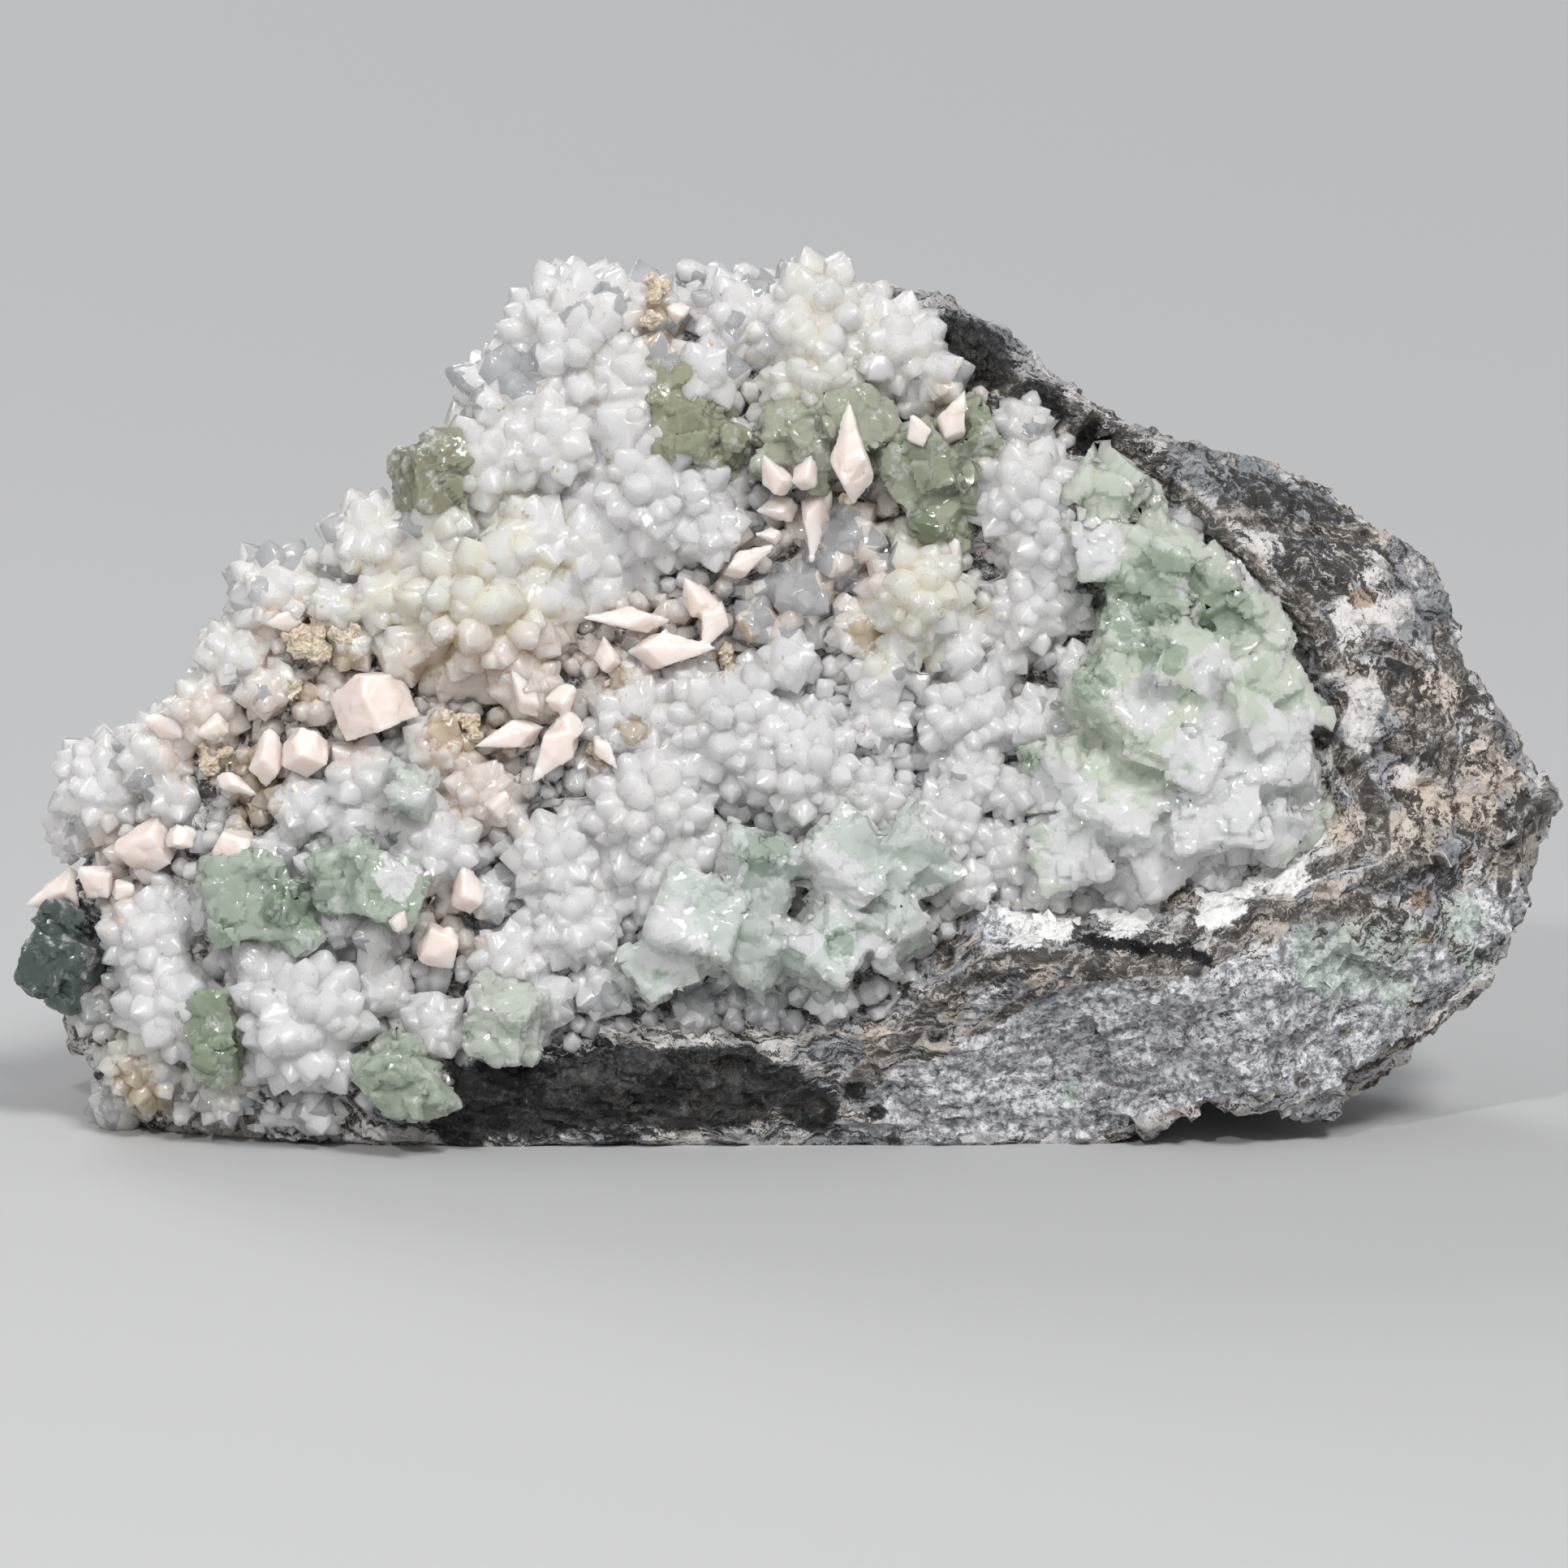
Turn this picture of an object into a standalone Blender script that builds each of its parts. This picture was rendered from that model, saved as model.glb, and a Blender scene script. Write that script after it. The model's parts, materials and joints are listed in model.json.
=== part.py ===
"""A cabinet specimen of scalenohedral calcite, on drusy quartz and green fluorite, on its gneiss host rock.

For Blender 4.5: blender --background --python part.py, or run it from the Text editor.
Metres, +Z up. The specimen stands on its flat broken base. Its crystal side faces -Y, and the origin
lies in the middle of the base.
"""

import math
import random

import bmesh
import bpy
from mathutils import Matrix, Vector, noise
from mathutils.bvhtree import BVHTree

# The tables below are in millimetres.
MM = 0.001
SPECIMEN_WIDTH = 200.0
GAP = 0.35
BIG = 400.0

# The picture plane: places called across and up are read on an upright plane through the specimen's
# middle, as an eye in front of it and a little above sees them.
EYE_DISTANCE = 5.0 * SPECIMEN_WIDTH
EYE_ELEVATION = math.radians(10.0)
PICTURE_CENTRE = (-0.4, 46.0)
AIM = Vector((-0.4, 0.0, 44.4))
PICTURE_UP = Vector((0.0, math.sin(EYE_ELEVATION), math.cos(EYE_ELEVATION)))
TOWARDS_EYE = Vector((0.0, -math.cos(EYE_ELEVATION), math.sin(EYE_ELEVATION)))
EYE = AIM + TOWARDS_EYE * EYE_DISTANCE

# The rock's outline from the front, across and up from the base, clockwise from the lower left.
ROCK_OUTLINE = (
    (-84, -4), (-91, 6), (-95, 14), (-95, 27), (-91, 36), (-87, 44), (-78, 51), (-69, 59),
    (-63, 66), (-55, 74), (-49, 81), (-43, 88), (-36, 96), (-29, 103), (-20, 107), (-11, 106),
    (-3, 107), (6, 109), (14, 109.5), (19, 108.5), (24, 104.5), (27, 103), (31, 99), (34, 96),
    (41, 92), (50, 89.5), (58, 88.5), (66, 86), (71, 83), (74, 79.5), (80, 75.5), (84, 72),
    (86, 68), (86, 63), (89, 57), (94, 51), (97.5, 47), (99.5, 43), (98, 38), (97, 31), (95.5, 26), (95, 23.5), (92, 20),
    (88, 17.5), (84, 13.5), (80, 10), (74, 6.5), (70, 3.5), (62, 4), (57, 6), (54.5, 8),
    (52.5, 4), (48, 2), (42, -2), (36, -4),
)
# The pocket that the crystals line, inside the broken rim of bare rock on the right and underneath.
POCKET_OUTLINE = (
    (14, 130), (20, 107), (26, 102), (28, 97), (38, 92), (45, 88), (49, 82), (56, 77), (62, 70),
    (68, 63), (70, 52), (69, 40), (60, 34), (44, 31), (26, 30), (20, 24), (13, 17), (0, 15),
    (-16, 15), (-24, 12), (-38, 11), (-44, 7), (-56, 2), (-70, -8), (-110, -8), (-110, 130),
)
SLAB_FRONT = 20.0
SLAB_BACK = 34.0
RIM_HEIGHT = 9.0
POCKET_EDGE = 5.0
ROCK_TRIANGLES = 1100
ROCK_VOXEL = 2.4
ROCK_LUMPS = ((24.0, 2.2), (9.0, 1.0))
LEDGE_SPACING = 4.5
LEDGE_DEPTH = 1.1

# The cushions of quartz: across, up, radius, how far they stand proud of the rock, and the width of
# their large crystals.
CUSHIONS = (
    (-27, 104, 12.0, 9.0, 7.0), (-18, 108, 7.0, 6.0, 6.2), (-20, 99, 8.0, 8.0, 6.6),
    (-37, 97, 8.0, 7.0, 6.6), (-40, 88, 8.5, 8.0, 6.8), (-31, 91, 8.0, 9.0, 6.6),
    (-55, 78, 7.0, 6.5, 6.4), (-46, 81, 7.0, 8.0, 6.6), (-40, 69, 13.0, 12.0, 7.6),
    (-33, 78, 7.0, 9.0, 7.0), (-34, 59, 6.0, 8.0, 6.4), (-17, 84, 11.0, 11.0, 6.6),
    (-21, 93, 6.0, 9.0, 7.0), (-26, 77, 7.0, 8.0, 6.4), (-10, 79, 6.0, 9.0, 6.0),
    (4, 106, 11.0, 9.0, 6.8), (-7, 107, 7.0, 7.0, 6.2), (14, 103, 8.0, 8.0, 6.8),
    (-11, 99, 6.5, 8.0, 7.0), (3, 98, 8.0, 8.0, 6.0), (20, 99, 5.0, 6.0, 6.0),
    (-7, 91, 4.5, 5.0, 6.0), (31, 84, 9.0, 9.0, 6.4), (35, 77, 7.5, 9.0, 6.2),
    (32, 69, 7.0, 8.0, 6.2), (31, 93, 5.0, 5.0, 5.4), (51, 80, 4.5, 5.0, 6.0),
    (7, 78, 7.0, 7.0, 7.0), (2, 71, 6.0, 6.0, 7.0), (17, 71, 8.5, 10.0, 7.0),
    (0, 62, 5.0, 8.0, 6.6), (12, 60, 5.5, 6.0, 6.0), (23, 63, 3.5, 6.0, 5.4),
    (29, 63, 4.0, 5.0, 5.6), (24, 54, 9.0, 7.0, 6.0), (12, 54, 6.0, 5.0, 5.6),
    (33, 54, 6.0, 6.0, 5.6), (-20, 54, 8.0, 8.0, 6.2), (-8, 53, 11.0, 10.0, 6.6),
    (2, 48, 10.0, 9.0, 6.4), (-18, 42, 11.0, 10.0, 6.6), (-30, 36, 8.0, 8.0, 6.6),
    (-28, 28, 8.0, 8.5, 6.4), (-16, 34, 9.0, 8.0, 6.4), (10, 44, 7.0, 6.5, 5.8),
    (-36, 23, 6.5, 8.0, 6.6), (-31, 18, 4.5, 7.0, 6.0), (-24, 19, 5.0, 6.0, 5.4),
    (-63, 43, 5.5, 7.0, 6.2), (-55, 47, 6.5, 8.0, 7.0), (-46, 51, 6.0, 7.0, 6.6),
    (-40, 45, 6.0, 7.0, 6.4), (-46, 38, 7.5, 9.0, 6.6), (-56, 40, 5.5, 7.0, 6.2),
    (-89, 46, 8.0, 8.0, 6.6), (-82, 50, 7.0, 7.0, 6.8), (-93, 40, 5.0, 5.0, 6.0),
    (-72, 63, 6.0, 6.0, 6.2), (-67, 71, 7.5, 7.0, 6.8), (-76, 55, 6.5, 6.5, 6.4),
    (-83, 26, 8.0, 8.0, 6.6), (-80, 17, 9.0, 9.0, 7.0), (-63, 15, 11.0, 11.0, 7.0),
    (-68, 22, 5.0, 7.0, 6.0), (-84, 9, 6.5, 6.0, 5.4), (-46, 14, 5.5, 7.5, 6.2),
    (-59, 28, 4.0, 7.0, 6.6), (-54, 26, 3.5, 7.0, 6.2), (-91, 17, 4.5, 4.0, 5.6),
    (-59, 69, 4.5, 6.5, 5.6), (-68, 58, 4.5, 6.0, 5.6), (-50, 63, 5.0, 7.0, 5.8),
    (-24, 71, 4.5, 6.0, 5.8), (-4, 67, 4.0, 5.5, 5.4), (9, 66, 4.5, 6.0, 5.6),
    (-13, 59, 4.0, 6.0, 5.4), (21, 41, 7.0, 7.0, 5.8), (30, 45, 5.0, 6.5, 5.4),
    (29, 37, 5.5, 6.0, 5.6), (24, 33, 4.5, 6.0, 5.4), (-67, 36, 5.0, 6.5, 6.0),
    (-80, 44, 5.0, 5.0, 6.0), (-75, 30, 5.0, 5.0, 6.0), (-39, 31, 4.0, 5.0, 5.6),
    (-53, 19, 4.5, 6.0, 5.6), (-62, 35, 3.5, 5.0, 5.4), (38, 61, 4.5, 5.0, 5.6),
    (-12, 16, 4.0, 3.5, 5.0), (-3, 17, 4.0, 3.5, 5.0), (-74, 5, 5.0, 4.0, 5.4),
    (-53, 70, 5.0, 7.0, 5.8), (-57, 64, 4.0, 5.5, 5.4), (6, 18, 4.0, 5.5, 5.0),
    (15, 64, 4.5, 6.0, 5.4), (24, 47, 5.0, 6.5, 5.4), (-20, 60, 4.0, 5.5, 5.4),
    (34, 33, 5.0, 5.5, 5.4), (45, 33, 5.0, 5.5, 5.4), (56, 35, 5.0, 6.0, 5.4),
    (-88, 3, 5.0, 4.0, 5.4), (-62, 3, 5.5, 4.0, 5.6), (37, 69, 4.5, 5.0, 5.4),
)
CRUST_THICKNESS = 3.0
CRUST_TRIANGLES = 2400
CUSHION_CORE = 0.72
CRYSTAL_COVER = 2.5
CRYSTAL_ROOT = 0.35
CRYSTAL_SPREAD = math.radians(74.0)
CRYSTAL_REACH = (1.0, 1.16)
TIP_HEIGHT = 0.85
TIP_OFF_CENTRE = 0.12
CRYSTAL_WIDE = (0.95, 1.15)
CRYSTAL_FLAT = (0.85, 1.0)

# Fluorite: each mass is blocks grown into one another: across, up, size, lift off the rock.
FLUORITE = {
    "fluorite_left_edge": ((-46, 86, 8.5, 3.5), (-44, 89, 5.5, 5.0)),
    "fluorite_upper_left": ((-13, 92, 9.0, 3.5), (-15, 97, 6.5, 3.0), (-9, 90, 6.0, 3.5)),
    "fluorite_top": ((4, 91, 9.0, 4.0), (9, 93, 7.5, 5.0), (-1, 88, 6.5, 4.0)),
    "fluorite_upper_right": ((18, 88, 9.0, 3.5), (24, 92, 7.0, 3.0), (20, 81, 6.5, 3.5)),
    "fluorite_right_mass": (
        (42, 84, 8.0, 4.0), (47, 81, 6.0, 3.0), (40, 77, 8.0, 6.0), (49, 74, 10.0, 5.0),
        (45, 66, 10.0, 2.5), (56, 72, 8.5, 4.0), (51, 62, 9.0, 8.0), (61, 66, 8.5, 3.5),
        (60, 57, 12.0, 5.0), (43, 57, 11.0, 5.0), (51, 52, 12.0, 5.5), (64, 49, 10.0, 4.5),
        (36, 48, 8.5, 3.5), (44, 43, 11.0, 4.5), (56, 43, 12.0, 4.5), (37, 38, 9.0, 3.5),
        (65, 41, 8.0, 3.0), (48, 37, 8.0, 3.5),
    ),
    "fluorite_lower": (
        (-12, 28, 10.0, 6.0), (-4, 35, 9.0, 5.0), (7, 36, 10.0, 5.5), (-16, 22, 7.5, 5.0),
        (-4, 25, 8.0, 5.0), (5, 25, 9.0, 6.0), (16, 37, 8.5, 4.0), (14, 27, 8.0, 4.0),
    ),
    "fluorite_lower_left": (
        (-70, 31, 10.0, 3.5), (-65, 30, 8.5, 3.5), (-57, 34, 8.5, 5.0), (-52, 32, 8.0, 7.0),
    ),
    "fluorite_cleft": ((-73, 15, 7.5, 3.0), (-73, 10, 5.5, 3.0)),
    "fluorite_bottom": ((-37, 15, 8.5, 7.0),),
    "fluorite_bottom_left": ((-51, 9, 8.0, 5.5), (-47, 7, 6.0, 5.0)),
    "fluorite_corner": ((-93, 22, 8.0, 3.0), (-93, 27, 5.5, 2.0)),
    "fluorite_mid_left": ((-49, 45, 6.0, 8.0),),
}
# The small groups have cut corners, and the large masses are broken along their cube faces.
CORNER_CUT = 0.24
WHOLE_BLOCKS = 4
BLOCK_TILT = (0.6, 0.2, 0.6)

# Calcite: each crystal is across, up, length, width, the way its tip points in the picture in degrees
# anticlockwise from the right, how far it leans to the eye in degrees, how far its middle stands off
# what it grows on, and how much of its tip three rhombohedral faces cut off.
CALCITE = {
    "calcite_spire": ((8.4, 89.5, 14.0, 5.8, 93, 12, 2.5, 0.0),),
    "calcite_right_spear": ((22.0, 94.0, 9.0, 4.4, 70, 20, 1.5, 0.0),),
    "calcite_right_tooth": ((17.0, 92.5, 6.0, 4.0, 110, 35, 1.0, 0.1),),
    "calcite_left_wedge": ((-1.6, 86.5, 7.0, 4.2, 120, 25, 0.8, 0.0),),
    "calcite_upper_wedge": ((2.6, 87.0, 6.0, 4.0, 75, 30, 0.8, 0.0),),
    "calcite_lower_wedge": ((-1.4, 82.0, 6.5, 3.8, 185, 20, 1.0, 0.0),),
    "calcite_hanging": ((3.6, 80.0, 11.0, 4.2, 265, 10, 1.6, 0.0), (5.0, 83.0, 5.0, 3.0, 60, 30, 1.0, 0.0)),
    "calcite_bright_blade": ((-5.0, 75.4, 9.0, 3.8, 28, 20, 1.6, 0.0),),
    "calcite_small_blade": ((-2.4, 78.6, 4.5, 2.4, 175, 25, 0.8, 0.0),),
    "calcite_left_blade": ((-21.5, 67.6, 12.5, 3.6, 178, 8, 1.6, 0.0),),
    "calcite_left_tooth": ((-23.6, 63.0, 6.0, 3.8, 100, 25, 1.4, 0.0),),
    "calcite_right_blade": (
        (-15.0, 63.6, 12.5, 5.6, 2, 12, 2.0, 0.0), (-9.8, 66.8, 7.5, 4.6, 250, 20, 1.8, 0.0),
        (-12.0, 70.6, 7.0, 4.8, 120, 25, 1.4, 0.0),
    ),
    "calcite_white_stack": (
        (-29.0, 57.6, 6.4, 4.2, 45, 25, 2.0, 0.18), (-28.9, 53.8, 6.0, 5.4, 100, 50, 2.2, 0.25),
        (-30.6, 50.2, 11.0, 5.6, 235, 15, 2.0, 0.0),
    ),
    "calcite_left_spear": ((-36.4, 52.2, 10.5, 4.4, 196, 15, 1.6, 0.0),),
    "calcite_up_spear": ((-34.6, 58.2, 8.5, 3.6, 118, 20, 1.0, 0.0),),
    "calcite_down_spear": ((-23.8, 50.2, 6.0, 3.0, 305, 20, 1.0, 0.0),),
    "calcite_chip": ((-37.6, 43.6, 5.0, 3.8, 60, 35, 1.0, 0.1),),
    "calcite_dome": ((-54.6, 57.6, 13.0, 12.0, 102, 48, 2.5, 0.2),),
    "calcite_block": ((-63.4, 51.6, 10.5, 7.0, 95, 20, 2.2, 0.3),),
    "calcite_grey_column": ((-68.0, 50.4, 10.0, 5.0, 85, 10, 0.8, 0.2),),
    "calcite_knob": ((-73.2, 38.4, 9.0, 8.0, 120, 35, 2.5, 0.3),),
    "calcite_shaded": ((-84.6, 37.8, 11.0, 8.4, 188, 15, 0.5, 0.15),),
    "calcite_step": ((-79.6, 39.6, 5.5, 4.6, 100, 35, 1.6, 0.25),),
    "calcite_left_tip": ((-95.4, 31.4, 9.5, 7.0, 196, 10, 1.0, 0.0),),
    "calcite_left_knob": ((-90.6, 33.6, 7.0, 5.6, 150, 30, 1.6, 0.1),),
    "calcite_left_bud": ((-86.6, 32.2, 4.6, 3.6, 20, 30, 1.4, 0.15),),
    "calcite_leaf": ((-72.0, 45.8, 7.0, 3.0, 335, 15, 1.2, 0.0),),
    "calcite_ledge": ((-81.4, 53.8, 8.0, 4.8, 165, 25, 1.8, 0.1),),
    "calcite_ledge_tooth": ((-75.4, 53.2, 6.0, 4.2, 200, 35, 1.4, 0.1),),
    "calcite_upper_leaf": ((-66.0, 67.4, 6.5, 3.6, 190, 25, 1.4, 0.1),),
    "calcite_egg": ((-42.0, 32.6, 8.0, 5.0, 97, 15, 2.2, 0.12),),
    "calcite_pink_pair": (
        (-46.4, 24.2, 8.5, 7.2, 215, 25, 1.6, 0.2), (-44.4, 26.4, 4.0, 3.2, 80, 40, 2.4, 0.2),
    ),
    "calcite_top_spire": ((-11.8, 108.0, 6.0, 2.8, 88, 5, 1.0, 0.0),),
    "calcite_top_bud": ((-14.8, 108.0, 4.4, 3.6, 150, 40, 1.0, 0.2),),
    "calcite_small_pink": ((21.8, 76.6, 5.0, 3.4, 70, 35, 1.2, 0.1),),
    "calcite_little_tooth": ((-50.8, 28.2, 4.2, 2.8, 60, 30, 1.6, 0.0),),
}
GIRDLE_ZIGZAG = 0.11
GIRDLE_HEIGHT = -0.16
RHOMBOHEDRON_FACE = (0.70, 0.0, 0.71)

ROCK_COLOUR = (0.42, 0.38, 0.34)
QUARTZ_COLOUR = (0.86, 0.87, 0.88)
FLUORITE_COLOUR = (0.60, 0.72, 0.60)
CALCITE_COLOUR = (0.90, 0.84, 0.81)


def smooth_step(value):
    value = min(1.0, max(0.0, value))
    return value * value * (3.0 - 2.0 * value)


def pocket_depth_inside(x, z):
    """The distance from the pocket's edge, positive inside it."""
    nearest, inside = 1e9, False
    here = Vector((x, z))
    for start, end in zip(POCKET_OUTLINE, POCKET_OUTLINE[1:] + POCKET_OUTLINE[:1]):
        a, b = Vector(start), Vector(end)
        along = min(1.0, max(0.0, (here - a).dot(b - a) / (b - a).length_squared))
        nearest = min(nearest, (here - a.lerp(b, along)).length)
        if (a.y > z) != (b.y > z) and x < a.x + (z - a.y) * (b.x - a.x) / (b.y - a.y):
            inside = not inside
    return nearest if inside else -nearest


def pocket_floor(x, z):
    """How far back the pocket's floor lies: it leans back, and falls away at the left, top and foot."""
    lean = -23.0 + 0.18 * z
    left = 0.010 * max(0.0, -55.0 - x) ** 2
    top = 0.020 * max(0.0, z - 95.0) ** 2
    foot = 0.040 * max(0.0, 12.0 - z) ** 2
    return lean + left + top + foot


def rim_face(x, z):
    """How far back the bare rock's face lies: it turns away on the right, and under at the foot."""
    lean = -23.0 - RIM_HEIGHT + 0.18 * z
    right = 0.42 * max(0.0, x - 62.0)
    top = 0.25 * max(0.0, z - 70.0)
    foot = 0.55 * max(0.0, 24.0 - z)
    return lean + right + top + foot


def front_of_rock(x, z):
    inside = smooth_step(0.5 + pocket_depth_inside(x, z) / POCKET_EDGE)
    return rim_face(x, z) * (1.0 - inside) + pocket_floor(x, z) * inside


def back_of_rock(x, z):
    """The hidden side is broken along a few flat faces: the nearest of them counts."""
    planes = (
        SLAB_BACK,
        SLAB_BACK + 4.0 - 0.34 * (z - 35.0) + 0.06 * x,
        SLAB_BACK + 2.0 + 0.62 * (x + 62.0) + 0.10 * z,
        SLAB_BACK + 6.0 - 0.55 * (x - 48.0) - 0.12 * z,
        SLAB_BACK + 12.0 - 0.75 * (z - 52.0) - 0.22 * x,
    )
    return max(9.0, min(planes))


def outward(x, z):
    """The way the pocket's floor faces."""
    step = 1.0
    along_x = Vector((2 * step, pocket_floor(x + step, z) - pocket_floor(x - step, z), 0.0))
    along_z = Vector((0.0, pocket_floor(x, z + step) - pocket_floor(x, z - step), 2 * step))
    return along_x.cross(along_z).normalized()


def picture_point(across, up):
    return AIM + Vector((across - PICTURE_CENTRE[0], 0.0, 0.0)) + PICTURE_UP * (up - PICTURE_CENTRE[1])


def on_floor(across, up):
    """The point of the pocket's floor that the eye sees at this place in the picture."""
    way = (picture_point(across, up) - EYE).normalized()
    point = picture_point(across, up)
    for _ in range(12):
        point += way * ((pocket_floor(point.x, point.z) - point.y) / way.y)
    return point


def turned_to(direction, twist):
    """A rotation that takes +Z to the direction, after a twist about +Z."""
    return direction.to_track_quat("Z", "Y").to_matrix().to_4x4() @ Matrix.Rotation(twist, 4, "Z")


def collection_named(name):
    made = bpy.data.collections.new(name)
    bpy.context.scene.collection.children.link(made)
    return made


def object_from(shape, place, name, collection):
    """A mesh object from a bmesh, put in its place. Both are in millimetres."""
    bmesh.ops.transform(shape, matrix=Matrix.Scale(MM, 4) @ place, verts=shape.verts)
    mesh = bpy.data.meshes.new(name)
    shape.to_mesh(mesh)
    shape.free()
    made = bpy.data.objects.new(name, mesh)
    collection.objects.link(made)
    return made


def finish_modifiers(obj):
    """Makes the evaluated mesh the object's own."""
    graph = bpy.context.evaluated_depsgraph_get()
    made = bpy.data.meshes.new_from_object(obj.evaluated_get(graph))
    obj.modifiers.clear()
    obj.data = made


def boolean(obj, operand, operation):
    """The exact solver leaves open edges where this many crystals cross, and the manifold one doesn't."""
    modifier = obj.modifiers.new(operation.title(), "BOOLEAN")
    modifier.solver = "MANIFOLD"
    modifier.operation = operation
    modifier.object = operand
    finish_modifiers(obj)


def united(objects):
    """One skin round closed shapes that pass through each other, joined two by two."""
    while len(objects) > 1:
        for first, second in zip(objects[::2], objects[1::2]):
            boolean(first, second, "UNION")
            bpy.data.objects.remove(second)
        objects = objects[::2]
    return objects[0]


def cut(objects, cutter):
    for obj in objects:
        boolean(obj, cutter, "DIFFERENCE")
    bpy.data.objects.remove(cutter)


def simplify(obj, triangles):
    """Merges the smallest facets until this many triangles are left."""
    obj.data.calc_loop_triangles()
    decimate = obj.modifiers.new("Simplify", "DECIMATE")
    decimate.ratio = triangles / len(obj.data.loop_triangles)
    finish_modifiers(obj)


def keep_main_body(obj):
    """Drops the loose chips that the cuts leave behind."""
    work = bmesh.new()
    work.from_mesh(obj.data)
    left = set(work.faces)
    bodies = []
    while left:
        body, edge_of_search = set(), [left.pop()]
        while edge_of_search:
            face = edge_of_search.pop()
            body.add(face)
            for edge in face.edges:
                for other in edge.link_faces:
                    if other in left:
                        left.remove(other)
                        edge_of_search.append(other)
        bodies.append(body)
    bodies.sort(key=lambda body: sum(face.calc_area() for face in body))
    for body in bodies[:-1]:
        bmesh.ops.delete(work, geom=list(body), context="FACES")
    work.to_mesh(obj.data)
    work.free()


def material_named(name, colour, roughness):
    made = bpy.data.materials.new(name)
    made.use_nodes = True
    shader = made.node_tree.nodes["Principled BSDF"]
    shader.inputs["Base Color"].default_value = (*colour, 1.0)
    shader.inputs["Roughness"].default_value = roughness
    shader.inputs["Metallic"].default_value = 0.0
    return made


def outline_slab(name, outline, front, back, collection):
    """A flat outline in the XZ plane, made as thick as front to back."""
    curve = bpy.data.curves.new(name, "CURVE")
    curve.dimensions = "2D"
    curve.fill_mode = "BOTH"
    curve.extrude = 0.5 * (back - front) * MM
    spline = curve.splines.new("POLY")
    spline.use_cyclic_u = True
    spline.points.add(len(outline) - 1)
    for point, (x, z) in zip(spline.points, outline):
        point.co = (x * MM, z * MM, 0.0, 1.0)
    guide = bpy.data.objects.new(name + "_outline", curve)
    collection.objects.link(guide)
    guide.matrix_world = (
        Matrix.Translation((0.0, 0.5 * (front + back) * MM, 0.0)) @ Matrix.Rotation(math.radians(90), 4, "X")
    )
    bpy.context.view_layer.update()
    graph = bpy.context.evaluated_depsgraph_get()
    mesh = bpy.data.meshes.new_from_object(guide.evaluated_get(graph))
    mesh.transform(guide.matrix_world)
    bpy.data.objects.remove(guide)
    welded = bmesh.new()
    welded.from_mesh(mesh)
    bmesh.ops.remove_doubles(welded, verts=welded.verts, dist=0.01 * MM)
    bmesh.ops.recalc_face_normals(welded, faces=welded.faces)
    welded.to_mesh(mesh)
    welded.free()
    made = bpy.data.objects.new(name, mesh)
    collection.objects.link(made)
    return made


def rock_point(point, normal):
    """Where a point of the plain slab goes on the broken rock. All in millimetres."""
    x, y, z = point
    if y < 0.0:
        y = y / SLAB_FRONT * -front_of_rock(x, z)
    else:
        y = y / SLAB_BACK * back_of_rock(x, z)
    narrow = 1.0 - 0.16 * max(0.0, y / SLAB_BACK) ** 2
    x *= narrow
    z = z * (1.0 - 0.10 * max(0.0, y / SLAB_BACK) ** 2) if z > 0.0 else z
    bare = 1.0 - (smooth_step(pocket_depth_inside(x, z) / POCKET_EDGE) if y < 0.0 else 0.0)
    here = Vector((x, y, z))
    push = sum(depth * noise.noise(here / size) for size, depth in ROCK_LUMPS)
    ledge = (pocket_depth_inside(x, z) + 0.35 * y + 3.0 * noise.noise(here / 18.0)) / LEDGE_SPACING
    push += LEDGE_DEPTH * (ledge - math.floor(ledge) - 0.5)
    return here + normal * push * bare


def everything_below(height, collection):
    block = bmesh.new()
    bmesh.ops.create_cube(block, size=BIG)
    return object_from(block, Matrix.Translation((0.0, 0.0, height - 0.5 * BIG)), "below_base", collection)


def build_rock(collection):
    rock = outline_slab("gneiss_matrix", ROCK_OUTLINE, -SLAB_FRONT, SLAB_BACK, collection)
    remesh = rock.modifiers.new("Even grid", "REMESH")
    remesh.mode = "VOXEL"
    remesh.voxel_size = ROCK_VOXEL * MM
    finish_modifiers(rock)
    placed = [rock_point(vertex.co / MM, vertex.normal) for vertex in rock.data.vertices]
    for vertex, point in zip(rock.data.vertices, placed):
        vertex.co = point * MM
    rock.data.update()
    simplify(rock, ROCK_TRIANGLES)
    cut([rock], everything_below(0.0, collection))
    keep_main_body(rock)
    return rock


def grown_copy(obj, name, collection):
    """A copy that stands the gap proud of the first all over."""
    made = bpy.data.objects.new(name, obj.data.copy())
    collection.objects.link(made)
    displace = made.modifiers.new("Gap", "DISPLACE")
    displace.strength = 2.0 * GAP * MM
    displace.mid_level = 0.0
    finish_modifiers(made)
    return made


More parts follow.
